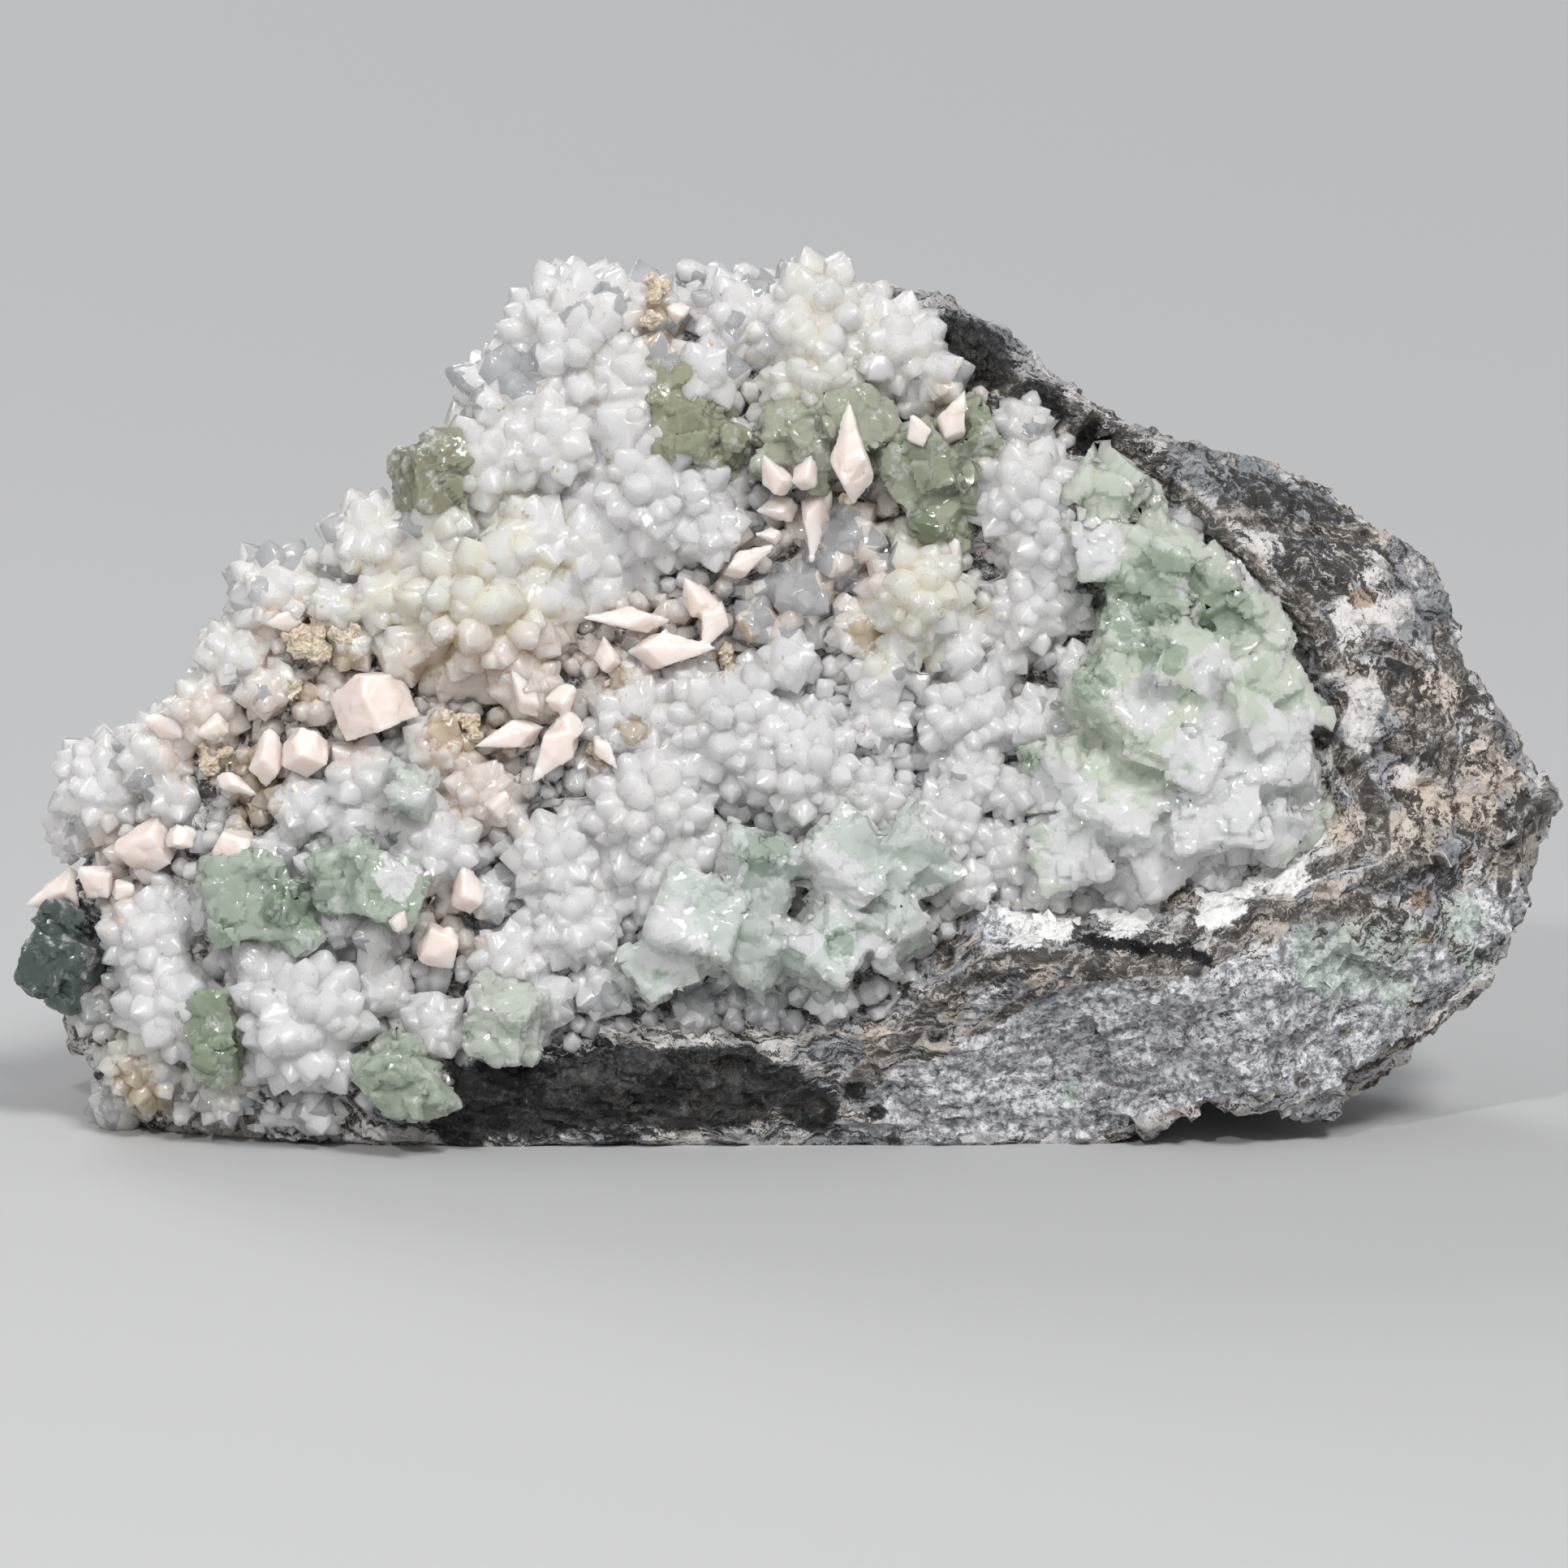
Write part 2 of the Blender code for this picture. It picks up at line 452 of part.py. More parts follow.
def quartz_crystal(base, direction, length, width, draw, collection):
    """A six-sided prism with a six-sided point, a little flattened and with its tip off centre."""
    crystal = bmesh.new()
    bmesh.ops.create_cone(
        crystal, cap_ends=True, segments=6, radius1=0.5 * width, radius2=0.5 * width, depth=length
    )
    bmesh.ops.translate(crystal, vec=(0.0, 0.0, 0.5 * length), verts=crystal.verts)
    top = max(crystal.faces, key=lambda face: face.calc_center_median().z)
    tip = bmesh.ops.poke(crystal, faces=[top])["verts"][0]
    tip.co.z += TIP_HEIGHT * 0.5 * width * draw.uniform(0.9, 1.3)
    tip.co.x += draw.uniform(-TIP_OFF_CENTRE, TIP_OFF_CENTRE) * width
    tip.co.y += draw.uniform(-TIP_OFF_CENTRE, TIP_OFF_CENTRE) * width
    flatten = Matrix.Diagonal((draw.uniform(*CRYSTAL_WIDE), draw.uniform(*CRYSTAL_FLAT), 1.0, 1.0))
    place = Matrix.Translation(base) @ turned_to(direction, draw.uniform(0.0, math.tau)) @ flatten
    return object_from(crystal, place, "quartz_crystal", collection)


def spread_directions(outwards, count, widest, draw):
    """Directions spread evenly round the outward one, as spokes of a golden spiral."""
    turn = turned_to(outwards, draw.uniform(0.0, math.tau))
    for i in range(count):
        polar = math.acos(1.0 - (i + 0.5) / count * (1.0 - math.cos(widest)))
        around = i * math.pi * (3.0 - math.sqrt(5.0)) + draw.uniform(-0.25, 0.25)
        polar += draw.uniform(-0.08, 0.08)
        yield turn @ Vector(
            (math.sin(polar) * math.cos(around), math.sin(polar) * math.sin(around), math.cos(polar))
        )


def build_quartz(rock, rock_cutter, parts, cutters):
    """The crust: a thin layer over the pocket's floor, with cushions of radiating crystals grown on it."""
    crust = bpy.data.objects.new("quartz_crust", rock.data.copy())
    parts.objects.link(crust)
    crust.data.transform(Matrix.Translation((0.0, -CRUST_THICKNESS * MM, 0.6 * MM)))
    pocket = outline_slab("pocket", POCKET_OUTLINE, -60.0, 6.0, cutters)
    boolean(crust, pocket, "INTERSECT")
    bpy.data.objects.remove(pocket)
    shapes = []
    for i, (across, up, radius, proud, width) in enumerate(CUSHIONS):
        draw = random.Random(100 + i)
        count = max(1, round(CRYSTAL_COVER * (radius / width) ** 2))
        floor_point = on_floor(across, up)
        out = outward(floor_point.x, floor_point.z)
        centre = floor_point - out * (radius - proud)
        core = bmesh.new()
        bmesh.ops.create_icosphere(core, subdivisions=1, radius=CUSHION_CORE * radius)
        place = Matrix.Translation(centre) @ turned_to(out, draw.uniform(0.0, math.tau))
        shapes.append(object_from(core, place, "cushion_core", cutters))
        for direction in spread_directions(out, count, CRYSTAL_SPREAD * (1.0 if count > 1 else 0.3), draw):
            reach = radius * draw.uniform(*CRYSTAL_REACH)
            base = centre + direction * CRYSTAL_ROOT * radius
            length = reach - CRYSTAL_ROOT * radius - TIP_HEIGHT * 0.5 * width
            size = width * draw.uniform(0.85, 1.15)
            shapes.append(quartz_crystal(base, direction, length, size, draw, cutters))
    crust = united([crust, united(shapes)])
    simplify(crust, CRUST_TRIANGLES)
    boolean(crust, rock_cutter, "DIFFERENCE")
    return crust


def fluorite_blocks(name, blocks, seed, grow, collection):
    """Cubes with their outer corners cut off, for a mass or, grown by the gap, for its cutter."""
    draw = random.Random(seed)
    made = []
    for across, up, size, lift in blocks:
        floor_point = on_floor(across, up)
        out = outward(floor_point.x, floor_point.z)
        tilt = Vector([draw.uniform(-most, most) for most in BLOCK_TILT])
        block = bmesh.new()
        corners = bmesh.ops.create_cube(block, size=size + 2.0 * grow)["verts"]
        if len(blocks) <= WHOLE_BLOCKS:
            outer = [corner for corner in corners if corner.co.z > 0.0]
            bmesh.ops.bevel(block, geom=outer, offset=CORNER_CUT * size, affect="VERTICES", segments=1)
        turn = turned_to((out + tilt).normalized(), draw.uniform(0.0, math.tau))
        place = Matrix.Translation(floor_point + out * lift) @ turn
        made.append(object_from(block, place, name, collection))
    return made


def scalenohedron(length, width, blunt, grow):
    """Six long faces to each tip, meeting in a zigzag girdle, which lies below the middle.

    A blunt crystal has its upper tip cut by the three faces of a rhombohedron.
    """
    crystal = bmesh.new()
    bmesh.ops.create_uvsphere(crystal, u_segments=6, v_segments=2, radius=0.5)
    half_width, half_length = 0.5 * width + grow, 0.5 * length + 2.0 * grow
    for vertex in crystal.verts:
        if abs(vertex.co.z) > 0.4:
            vertex.co.z = math.copysign(half_length, vertex.co.z)
            continue
        corner = round(math.atan2(vertex.co.y, vertex.co.x) / math.radians(60.0))
        zigzag = GIRDLE_ZIGZAG * (1.0 if corner % 2 else -1.0)
        vertex.co.x *= 2.0 * half_width
        vertex.co.y *= 2.0 * half_width
        vertex.co.z = length * (GIRDLE_HEIGHT + zigzag)
    for third in range(3 if blunt else 0):
        facing = Matrix.Rotation(math.radians(120.0 * third), 3, "Z") @ Vector(RHOMBOHEDRON_FACE)
        top = Vector((0.0, 0.0, (0.5 - blunt) * length + 1.5 * grow))
        everything = [*crystal.verts, *crystal.edges, *crystal.faces]
        bmesh.ops.bisect_plane(crystal, geom=everything, plane_co=top, plane_no=facing, clear_outer=True)
        rim = [edge for edge in crystal.edges if edge.is_boundary]
        bmesh.ops.holes_fill(crystal, edges=rim)
    bmesh.ops.recalc_face_normals(crystal, faces=crystal.faces)
    return crystal


def calcite_place(crystal, ground):
    """Where a crystal stands: on what the eye sees at its place, leaning as its row says."""
    across, up, _, _, turn, lean, lift, _ = crystal
    turn, lean = math.radians(turn), math.radians(lean)
    picture_way = Vector((math.cos(turn), 0.0, 0.0)) + PICTURE_UP * math.sin(turn)
    direction = picture_way * math.cos(lean) + TOWARDS_EYE * math.sin(lean)
    way = (picture_point(across, up) - EYE).normalized()
    hit = ground.ray_cast(EYE * MM, way)[0]
    seat = hit / MM if hit else on_floor(across, up)
    twist = math.radians(25.0 + across)
    return Matrix.Translation(seat - way * lift) @ turned_to(direction, twist)


def calcite_crystals(name, crystals, ground, grow, collection):
    made = []
    for crystal in crystals:
        _, _, length, width, _, _, _, blunt = crystal
        shape = scalenohedron(length, width, blunt, grow)
        made.append(object_from(shape, calcite_place(crystal, ground), name, collection))
    return made


def joined_tree(objects):
    """One search tree over several objects' faces."""
    points, faces = [], []
    for obj in objects:
        start = len(points)
        points += [vertex.co.copy() for vertex in obj.data.vertices]
        faces += [[start + i for i in polygon.vertices] for polygon in obj.data.polygons]
    return BVHTree.FromPolygons(points, faces)


def main():
    for obj in list(bpy.data.objects):
        bpy.data.objects.remove(obj)
    parts = collection_named("calcite_specimen")
    cutters = collection_named("cutters")
    rock = build_rock(parts)
    rock_cutter = grown_copy(rock, "rock_cutter", cutters)
    crust = build_quartz(rock, rock_cutter, parts, cutters)

    fluorites, grown = [], []
    for seed, (name, blocks) in enumerate(FLUORITE.items()):
        fluorites.append(united(fluorite_blocks(name, blocks, seed, 0.0, parts)))
        grown += fluorite_blocks("fluorite_cutter", blocks, seed, GAP, cutters)
    cut([crust], united(grown))

    ground = joined_tree([rock, crust, *fluorites])
    calcites, grown = [], []
    for name, crystals in CALCITE.items():
        calcites.append(united(calcite_crystals(name, crystals, ground, 0.0, parts)))
        grown += calcite_crystals("calcite_cutter", crystals, ground, GAP, cutters)
    cut([crust, *fluorites], united(grown))
    cut([*fluorites, *calcites], rock_cutter)
    cut([crust, *fluorites, *calcites], everything_below(2.0 * GAP, cutters))
    for mass in (crust, *fluorites):
        keep_main_body(mass)

    finishes = (
        ([rock], material_named("gneiss", ROCK_COLOUR, 0.85)),
        ([crust], material_named("quartz", QUARTZ_COLOUR, 0.25)),
        (fluorites, material_named("fluorite", FLUORITE_COLOUR, 0.3)),
        (calcites, material_named("calcite", CALCITE_COLOUR, 0.45)),
    )
    for objects, material in finishes:
        for obj in objects:
            obj.data.materials.clear()
            obj.data.materials.append(material)


if __name__ == "__main__":
    main()
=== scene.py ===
import json
import math
import random

import bpy
import numpy as np
from mathutils import Matrix, Vector, noise

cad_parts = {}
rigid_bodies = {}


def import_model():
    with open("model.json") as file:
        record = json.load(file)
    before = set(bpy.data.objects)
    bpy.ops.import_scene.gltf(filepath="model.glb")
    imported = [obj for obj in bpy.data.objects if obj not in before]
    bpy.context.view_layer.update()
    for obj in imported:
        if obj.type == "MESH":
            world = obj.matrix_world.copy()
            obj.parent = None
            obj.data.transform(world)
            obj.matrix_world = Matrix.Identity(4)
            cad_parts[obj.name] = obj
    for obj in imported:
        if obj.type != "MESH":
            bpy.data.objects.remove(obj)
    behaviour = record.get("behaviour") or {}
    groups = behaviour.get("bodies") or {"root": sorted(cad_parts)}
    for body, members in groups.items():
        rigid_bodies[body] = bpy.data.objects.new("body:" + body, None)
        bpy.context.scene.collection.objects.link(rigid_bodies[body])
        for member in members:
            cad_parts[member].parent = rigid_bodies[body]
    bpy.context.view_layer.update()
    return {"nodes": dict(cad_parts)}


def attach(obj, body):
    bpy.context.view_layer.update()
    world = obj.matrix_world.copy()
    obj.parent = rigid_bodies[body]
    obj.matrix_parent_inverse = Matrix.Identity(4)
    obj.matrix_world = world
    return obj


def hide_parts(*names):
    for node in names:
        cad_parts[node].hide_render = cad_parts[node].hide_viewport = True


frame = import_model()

# The view: the specimen is seen from a metre in front of its crystal side and a little above, through
# a long lens. Places in the tables below are read in that picture, in millimetres across and up.
MM = 0.001
EYE_DISTANCE = 1027.0
EYE_ELEVATION = math.radians(10.0)
AIM = Vector((-0.4, 0.0, 44.4))
PICTURE_CENTRE = (-0.4, 46.0)
PICTURE_UP = Vector((0.0, math.sin(EYE_ELEVATION), math.cos(EYE_ELEVATION)))
TOWARDS_EYE = Vector((0.0, -math.cos(EYE_ELEVATION), math.sin(EYE_ELEVATION)))
EYE = AIM + TOWARDS_EYE * EYE_DISTANCE

bpy.ops.object.select_all(action="DESELECT")
bpy.ops.object.camera_add(location=EYE * MM, rotation=TOWARDS_EYE.to_track_quat("Z", "Y").to_euler())
camera = bpy.context.object
camera.name = "photo_camera"
camera.data.lens = 180.0
camera.data.sensor_width = 36.0
camera.data.clip_start = 0.01
bpy.context.scene.camera = camera


def picture_point(across, up):
    aside = Vector((across - PICTURE_CENTRE[0], 0.0, 0.0))
    return AIM + aside + PICTURE_UP * (up - PICTURE_CENTRE[1])


# The gneiss matrix: one broken slab of banded host rock, folded round its right end. White feldspar and
# grey quartz lie in layers between dark mica, and the broken edges of the layers stand out as ledges.
def copy_of_node(node, name):
    """A welded copy of a solid, to be worked further."""
    bpy.ops.object.select_all(action="DESELECT")
    made = frame["nodes"][node].copy()
    made.data = made.data.copy()
    made.name = name
    bpy.context.scene.collection.objects.link(made)
    made.hide_viewport = False
    made.hide_render = False
    bpy.context.view_layer.objects.active = made
    made.select_set(True)
    bpy.ops.object.mode_set(mode="EDIT")
    bpy.ops.mesh.select_all(action="SELECT")
    bpy.ops.mesh.remove_doubles(threshold=0.00001)
    bpy.ops.mesh.normals_make_consistent(inside=False)
    bpy.ops.object.mode_set(mode="OBJECT")
    made.data.materials.clear()
    return made


def apply_modifiers(piece):
    bpy.context.view_layer.objects.active = piece
    for modifier in list(piece.modifiers):
        bpy.ops.object.modifier_apply(modifier=modifier.name)


def remeshed(piece, voxel):
    remesh = piece.modifiers.new("Even grid", "REMESH")
    remesh.mode = "VOXEL"
    remesh.voxel_size = voxel * MM
    apply_modifiers(piece)


def roughened(piece, name, kind, size, depth, group="", guide=None, **settings):
    """Raises and sinks the surface by a solid texture of this size, in millimetres."""
    texture = bpy.data.textures.new(name, kind)
    for key, value in settings.items():
        setattr(texture, key, value)
    if hasattr(texture, "noise_scale"):
        texture.noise_scale = size * MM
    displace = piece.modifiers.new(name, "DISPLACE")
    displace.texture = texture
    displace.strength = depth * MM
    displace.mid_level = 0.5
    displace.vertex_group = group
    if guide:
        displace.texture_coords = "OBJECT"
        displace.texture_coords_object = guide
    else:
        displace.texture_coords = "LOCAL"


def fractured(piece, size, tilt, step, lowest=0.0):
    """Breaks the surface into facets: each cell of the solid is tilted and raised in its own way."""
    moves = []
    for vertex in piece.data.vertices:
        here = vertex.co / (size * MM)
        home = noise.voronoi(here)[1][0]
        lean = noise.noise_vector(home * 7.3)
        height = lean.dot(here - home) * tilt + noise.noise(home * 3.1) * step
        moves.append(vertex.normal * height * MM)
    for vertex, move in zip(piece.data.vertices, moves):
        if vertex.co.z > lowest * MM:
            vertex.co += move
    piece.data.update()


def in_picture(piece):
    """Where each vertex is seen, across and up."""
    places = np.empty(3 * len(piece.data.vertices))
    piece.data.vertices.foreach_get("co", places)
    away = places.reshape(-1, 3) / MM - np.array(EYE)
    seen = away * (-EYE_DISTANCE / (away @ np.array(TOWARDS_EYE)))[:, None] + np.array(EYE - AIM)
    return seen[:, 0] + PICTURE_CENTRE[0], seen @ np.array(PICTURE_UP) + PICTURE_CENTRE[1]


def painted(piece, name, strokes):
    """Keeps a mask on the vertices, 1 along strokes of the picture: a radius, then the points it runs by."""
    across, up = in_picture(piece)
    mask = np.zeros(len(across))
    for radius, *points in strokes:
        for (x0, y0), (x1, y1) in zip(points, points[1:] or points):
            length = max((x1 - x0) ** 2 + (y1 - y0) ** 2, 0.001)
            along = np.clip(((across - x0) * (x1 - x0) + (up - y0) * (y1 - y0)) / length, 0.0, 1.0)
            distance = np.hypot(across - x0 - along * (x1 - x0), up - y0 - along * (y1 - y0))
            mask = np.maximum(mask, np.clip(1.5 - distance / radius, 0.0, 1.0))
    piece.data.attributes.new(name, "FLOAT", "POINT").data.foreach_set("value", mask)
    return mask


FOLD_CENTRE = (10.0, 0.0, 58.0)
FOLD_ACROSS = 80.0
FOLD_UP = 46.0
LAYER_SPACING = 0.045
RINGS_PER_UNIT = 20.0 / math.tau
FLAT_BASE = 1.0

noise.seed_set(5)
gneiss = copy_of_node("gneiss_matrix", "banded_gneiss")
remeshed(gneiss, 0.95)
fractured(gneiss, 11.0, 3.2, 1.0, FLAT_BASE)
fractured(gneiss, 4.0, 1.4, 0.5, FLAT_BASE)
above_base = gneiss.vertex_groups.new(name="above_base")
above_base.add([v.index for v in gneiss.data.vertices if v.co.z > FLAT_BASE * MM], 1.0, "REPLACE")
fold = bpy.data.objects.new("fold_guide", None)
fold.location = Vector(FOLD_CENTRE) * MM
ring_size = LAYER_SPACING * RINGS_PER_UNIT
fold.scale = (FOLD_ACROSS * MM * ring_size, 1.0, FOLD_UP * MM * ring_size)
bpy.context.scene.collection.objects.link(fold)
bpy.context.view_layer.update()
roughened(
    gneiss, "ledges", "WOOD", 1.0, 0.7, "above_base", fold,
    wood_type="RINGNOISE", noise_basis_2="SAW", turbulence=4.0,
)
roughened(gneiss, "lumps", "CLOUDS", 7.0, 2.2, "above_base")
roughened(gneiss, "grain", "CLOUDS", 1.3, 0.6, "above_base", noise_type="HARD_NOISE")
apply_modifiers(gneiss)
bpy.data.objects.remove(fold)
bpy.ops.object.mode_set(mode="EDIT")
bpy.ops.mesh.select_all(action="SELECT")
bpy.ops.mesh.bisect(plane_co=(0, 0, 0), plane_no=(0, 0, -1), use_fill=True, clear_outer=True)
bpy.ops.object.mode_set(mode="OBJECT")
bpy.ops.object.shade_smooth_by_angle(angle=math.radians(40.0))


class Nodes:
    """Short calls for the nodes of a shader tree."""

    def __init__(self, tree):
        self.tree = tree

    def put(self, socket, value):
        if isinstance(value, bpy.types.NodeSocket):
            self.tree.links.new(value, socket)
        elif isinstance(value, (tuple, list)) and len(value) == 3 and len(socket.default_value) == 4:
            socket.default_value = (*value, 1.0)
        else:
            socket.default_value = value

    def math(self, operation, first, second=0.5, third=0.0):
        node = self.tree.nodes.new("ShaderNodeMath")
        node.operation = operation
        for socket, value in zip(node.inputs, (first, second, third)):
            self.put(socket, value)
        return node.outputs[0]

    def vector(self, operation, first, second=(0.0, 0.0, 0.0)):
        node = self.tree.nodes.new("ShaderNodeVectorMath")
        node.operation = operation
        self.put(node.inputs[0], first)
        self.put(node.inputs[1], second)
        return node.outputs["Value" if operation in ("LENGTH", "DOT_PRODUCT") else "Vector"]

    def ramp(self, value, low, high, to_low=0.0, to_high=1.0):
        node = self.tree.nodes.new("ShaderNodeMapRange")
        node.interpolation_type = "SMOOTHSTEP"
        for socket, given in zip(node.inputs, (value, low, high, to_low, to_high)):
            self.put(socket, given)
        return node.outputs["Result"]


class Shader(Nodes):
    """A Principled material, with short calls for the nodes that feed it."""

    def __init__(self, name):
        self.material = bpy.data.materials.new(name)
        self.material.use_nodes = True
        super().__init__(self.material.node_tree)
        self.principled = self.tree.nodes["Principled BSDF"]
        self.coordinates = self.tree.nodes.new("ShaderNodeTexCoord").outputs["Object"]

    def set(self, **values):
        for name, value in values.items():
            self.put(self.principled.inputs[name.replace("_", " ")], value)

    def noise(self, size, detail=4.0, rough=0.5, distort=0.0, where=None):
        node = self.tree.nodes.new("ShaderNodeTexNoise")
        self.put(node.inputs["Vector"], where or self.coordinates)
        self.put(node.inputs["Scale"], 1.0 / (size * MM))
        self.put(node.inputs["Detail"], detail)
        self.put(node.inputs["Roughness"], rough)
        self.put(node.inputs["Distortion"], distort)
        return node.outputs["Fac"]

    def cells(self, size):
        """A colour at random for each cell."""
        node = self.tree.nodes.new("ShaderNodeTexVoronoi")
        self.put(node.inputs["Vector"], self.coordinates)
        self.put(node.inputs["Scale"], 1.0 / (size * MM))
        return node.outputs["Color"]

    def bands(self, value, stops):
        """A colour ramp with a stop for each place and colour."""
        node = self.tree.nodes.new("ShaderNodeValToRGB")
        self.put(node.inputs["Fac"], value)
        for place, colour in stops[1:-1]:
            node.color_ramp.elements.new(place)
        for element, (place, colour) in zip(node.color_ramp.elements, stops):
            element.position = place
            element.color = (*colour, 1.0)
        return node.outputs["Color"]

    def mix(self, factor, first, second):
        node = self.tree.nodes.new("ShaderNodeMix")
        node.data_type = "RGBA"
        self.put(node.inputs["Factor"], factor)
        self.put(node.inputs[6], first)
        self.put(node.inputs[7], second)
        return node.outputs[2]

    def bump(self, height, depth, normal=None):
        """A relief of so many millimetres."""
        node = self.tree.nodes.new("ShaderNodeBump")
        node.inputs["Distance"].default_value = depth * MM
        self.put(node.inputs["Height"], height)
        if normal:
            self.put(node.inputs["Normal"], normal)
        return node.outputs["Normal"]

    def effect(self, name, **values):
        """One of the effects that several materials share, with these inputs."""
        node = self.tree.nodes.new("ShaderNodeGroup")
        node.node_tree = bpy.data.node_groups[name]
        for label, value in values.items():
            self.put(node.inputs[label], value)
        return node.outputs["Result"]

    def stroke(self, name, ragged):
        node = self.tree.nodes.new("ShaderNodeAttribute")
        node.attribute_name = name
        return self.effect("ragged_edge", Painted=node.outputs["Fac"], Ragged=ragged)

    def facets(self, size):
        return self.effect("tilted_facets", Place=self.coordinates, Size=size)


def shared_effect(name, **inputs):
    """A node group with these inputs: calls for its nodes, its inputs, and the socket of its result."""
    tree = bpy.data.node_groups.new(name, "ShaderNodeTree")
    for label, kind in inputs.items():
        tree.interface.new_socket(label, in_out="INPUT", socket_type=kind)
    tree.interface.new_socket("Result", in_out="OUTPUT", socket_type="NodeSocketFloat")
    return Nodes(tree), tree.nodes.new("NodeGroupInput").outputs, tree.nodes.new("NodeGroupOutput").inputs[0]


# A painted mask, its edge made ragged by a noise.
inside, given, result = shared_effect("ragged_edge", Painted="NodeSocketFloat", Ragged="NodeSocketFloat")
uneven = inside.math("MULTIPLY_ADD", inside.math("SUBTRACT", given["Ragged"], 0.5), 2.6, given["Painted"])
inside.put(result, inside.ramp(uneven, 0.40, 0.60))

# The height of flat facets tilted at random, one in each cell of so many millimetres.
inside, given, result = shared_effect("tilted_facets", Place="NodeSocketVector", Size="NodeSocketFloat")
per_metre = inside.math("DIVIDE", 1.0 / MM, given["Size"])
cell = inside.tree.nodes.new("ShaderNodeTexVoronoi")
inside.put(cell.inputs["Vector"], given["Place"])
inside.put(cell.inputs["Scale"], per_metre)
from_cell = inside.vector("SUBTRACT", given["Place"], cell.outputs["Position"])
tilt = inside.vector("SUBTRACT", cell.outputs["Color"], (0.5, 0.5, 0.5))
inside.put(result, inside.math("MULTIPLY", inside.vector("DOT_PRODUCT", from_cell, tilt), per_metre))

# Strokes as seen in the picture: a radius, then points across and up.
MICA = (
    (1.9, (14, 109), (22, 104.5), (30, 97.5), (38, 92), (45, 88), (50, 84.2), (53.3, 81.6), (56.5, 78)),
    (1.8, (56.5, 78), (59.8, 75.1), (61.7, 72.2), (66.9, 69.6), (70.2, 65.7)), (2.0, (70.8, 62.4)),
    (1.2, (72.5, 57.2), (71.2, 53.9), (69.9, 51.3)), (1.4, (85.5, 66.3), (86.1, 63.1), (88.1, 60.4)),
    (1.1, (57.2, 82.9), (60.7, 80.6), (66.3, 79.3), (72.8, 79), (76, 78.4)),
    (1.4, (78.7, 59.5), (81.9, 54.9), (82.6, 51.7), (79.3, 50.7)), (1.5, (85.8, 53.6), (86.8, 50), (85.8, 47.1)),
    (1.7, (72.8, 49.7), (75.1, 46.1), (77.4, 42.5), (77.4, 38)), (1.6, (99.5, 44.2), (97.2, 40.9)),
    (1.1, (90.7, 53.9), (93.3, 53)), (1.1, (76.5, 64.2), (79.3, 63.7), (82.6, 62.4)),
    (1.5, (8.5, 6.6), (15.4, 12.4), (18.9, 17), (21.8, 19.3), (27, 22.2), (33.9, 23.9), (39.7, 21.6)),
    (1.5, (39.7, 21.6), (46.6, 22.2), (54.1, 22.2), (58.1, 25), (60.4, 29.7), (66.2, 29.1), (74.8, 29.7)),
    (1.2, (74.8, 29.7), (76.6, 33.7), (81.2, 36), (85.8, 35.4)), (0.9, (35, 30.8), (38.5, 28.5)),
    (0.8, (18.9, 12.9), (25.8, 14.1), (32.7, 18.7), (39.7, 21.6)), (0.8, (48.9, 33.7), (52.9, 34.8), (56.4, 35.1)),
    (0.7, (47.1, 29.1), (49, 31.5)), (0.7, (52.3, 26.8), (56.4, 30.2)), (1.0, (73, 13.5)), (1.3, (67.3, 7.2)),
    (1.2, (63.3, 32.5), (69.6, 34.8), (73.7, 36.6), (77.1, 38.9), (77.1, 42.3)),
    (1.0, (93.9, 32), (94.4, 37.2), (97.3, 40.6)), (1.5, (22, 31), (20.5, 23)), (1.3, (12.5, 23.3)),
)
# Painted shadow: a crevice along a mica band is painted near black, and the surface is not sunk there.
PAINTED_CREVICE_SHADOW = ((0.8, (39.1, 25.6), (46, 24.5), (52.3, 24.2), (55.2, 23)),)
# Painted shade: near-black strokes for the rock in shadow under the overhang of the crust and behind its top edge,
# over rock that is dark there as well.
PAINTED_SHADE = (
    (6.0, (-42, 4), (-20, 6), (-6, 6)), (3.0, (0, 6), (4, 3)), (1.4, (9, 6)), (1.2, (12, 3)),
    (5.0, (17, 106), (25, 102)), (3.5, (33, 95.5)), (2.5, (40, 91)),
)
PEPPER = (
    (5.0, (71.2, 75.1)), (4.0, (67, 75)), (3.0, (82, 57)), (4.0, (84, 52)), (3.0, (90, 57)), (3.0, (80, 61.5)),
    (3.0, (60, 84), (72, 80)), (3.0, (20, 27)), (3.0, (13, 20)), (2.5, (33, 26), (28, 20)), (3.0, (45, 27)),
    (3.0, (36, 93.5), (47, 88)), (3.0, (58, 28)), (3.0, (96, 42)),
)
WHITE_PATCH = (
    (2.2, (56.5, 81.6)), (2.4, (63, 78.2)), (3.0, (74.1, 67.9)), (2.0, (79, 68.3)), (3.0, (75.4, 57.8)),
    (3.0, (74.7, 53.3)), (1.5, (76.7, 73.5)), (1.8, (81.3, 47.1)), (1.5, (81, 70), (80.5, 66)), (3.5, (25.2, 34.8)),
)
BEIGE_PATCH = (
    (4.5, (92.3, 48.4)), (3.5, (84.2, 44.2)), (2.8, (72.8, 40.9)), (3.5, (85.8, 57.8)), (2.2, (70.8, 31.4)),
    (2.5, (80.6, 39)), (2.5, (22.9, 17)), (2.2, (32.7, 21)), (2.0, (12, 11.8)), (1.2, (44, 23.6), (50, 23)),
    (3.0, (90, 42)), (1.5, (77.7, 78.7)),
)
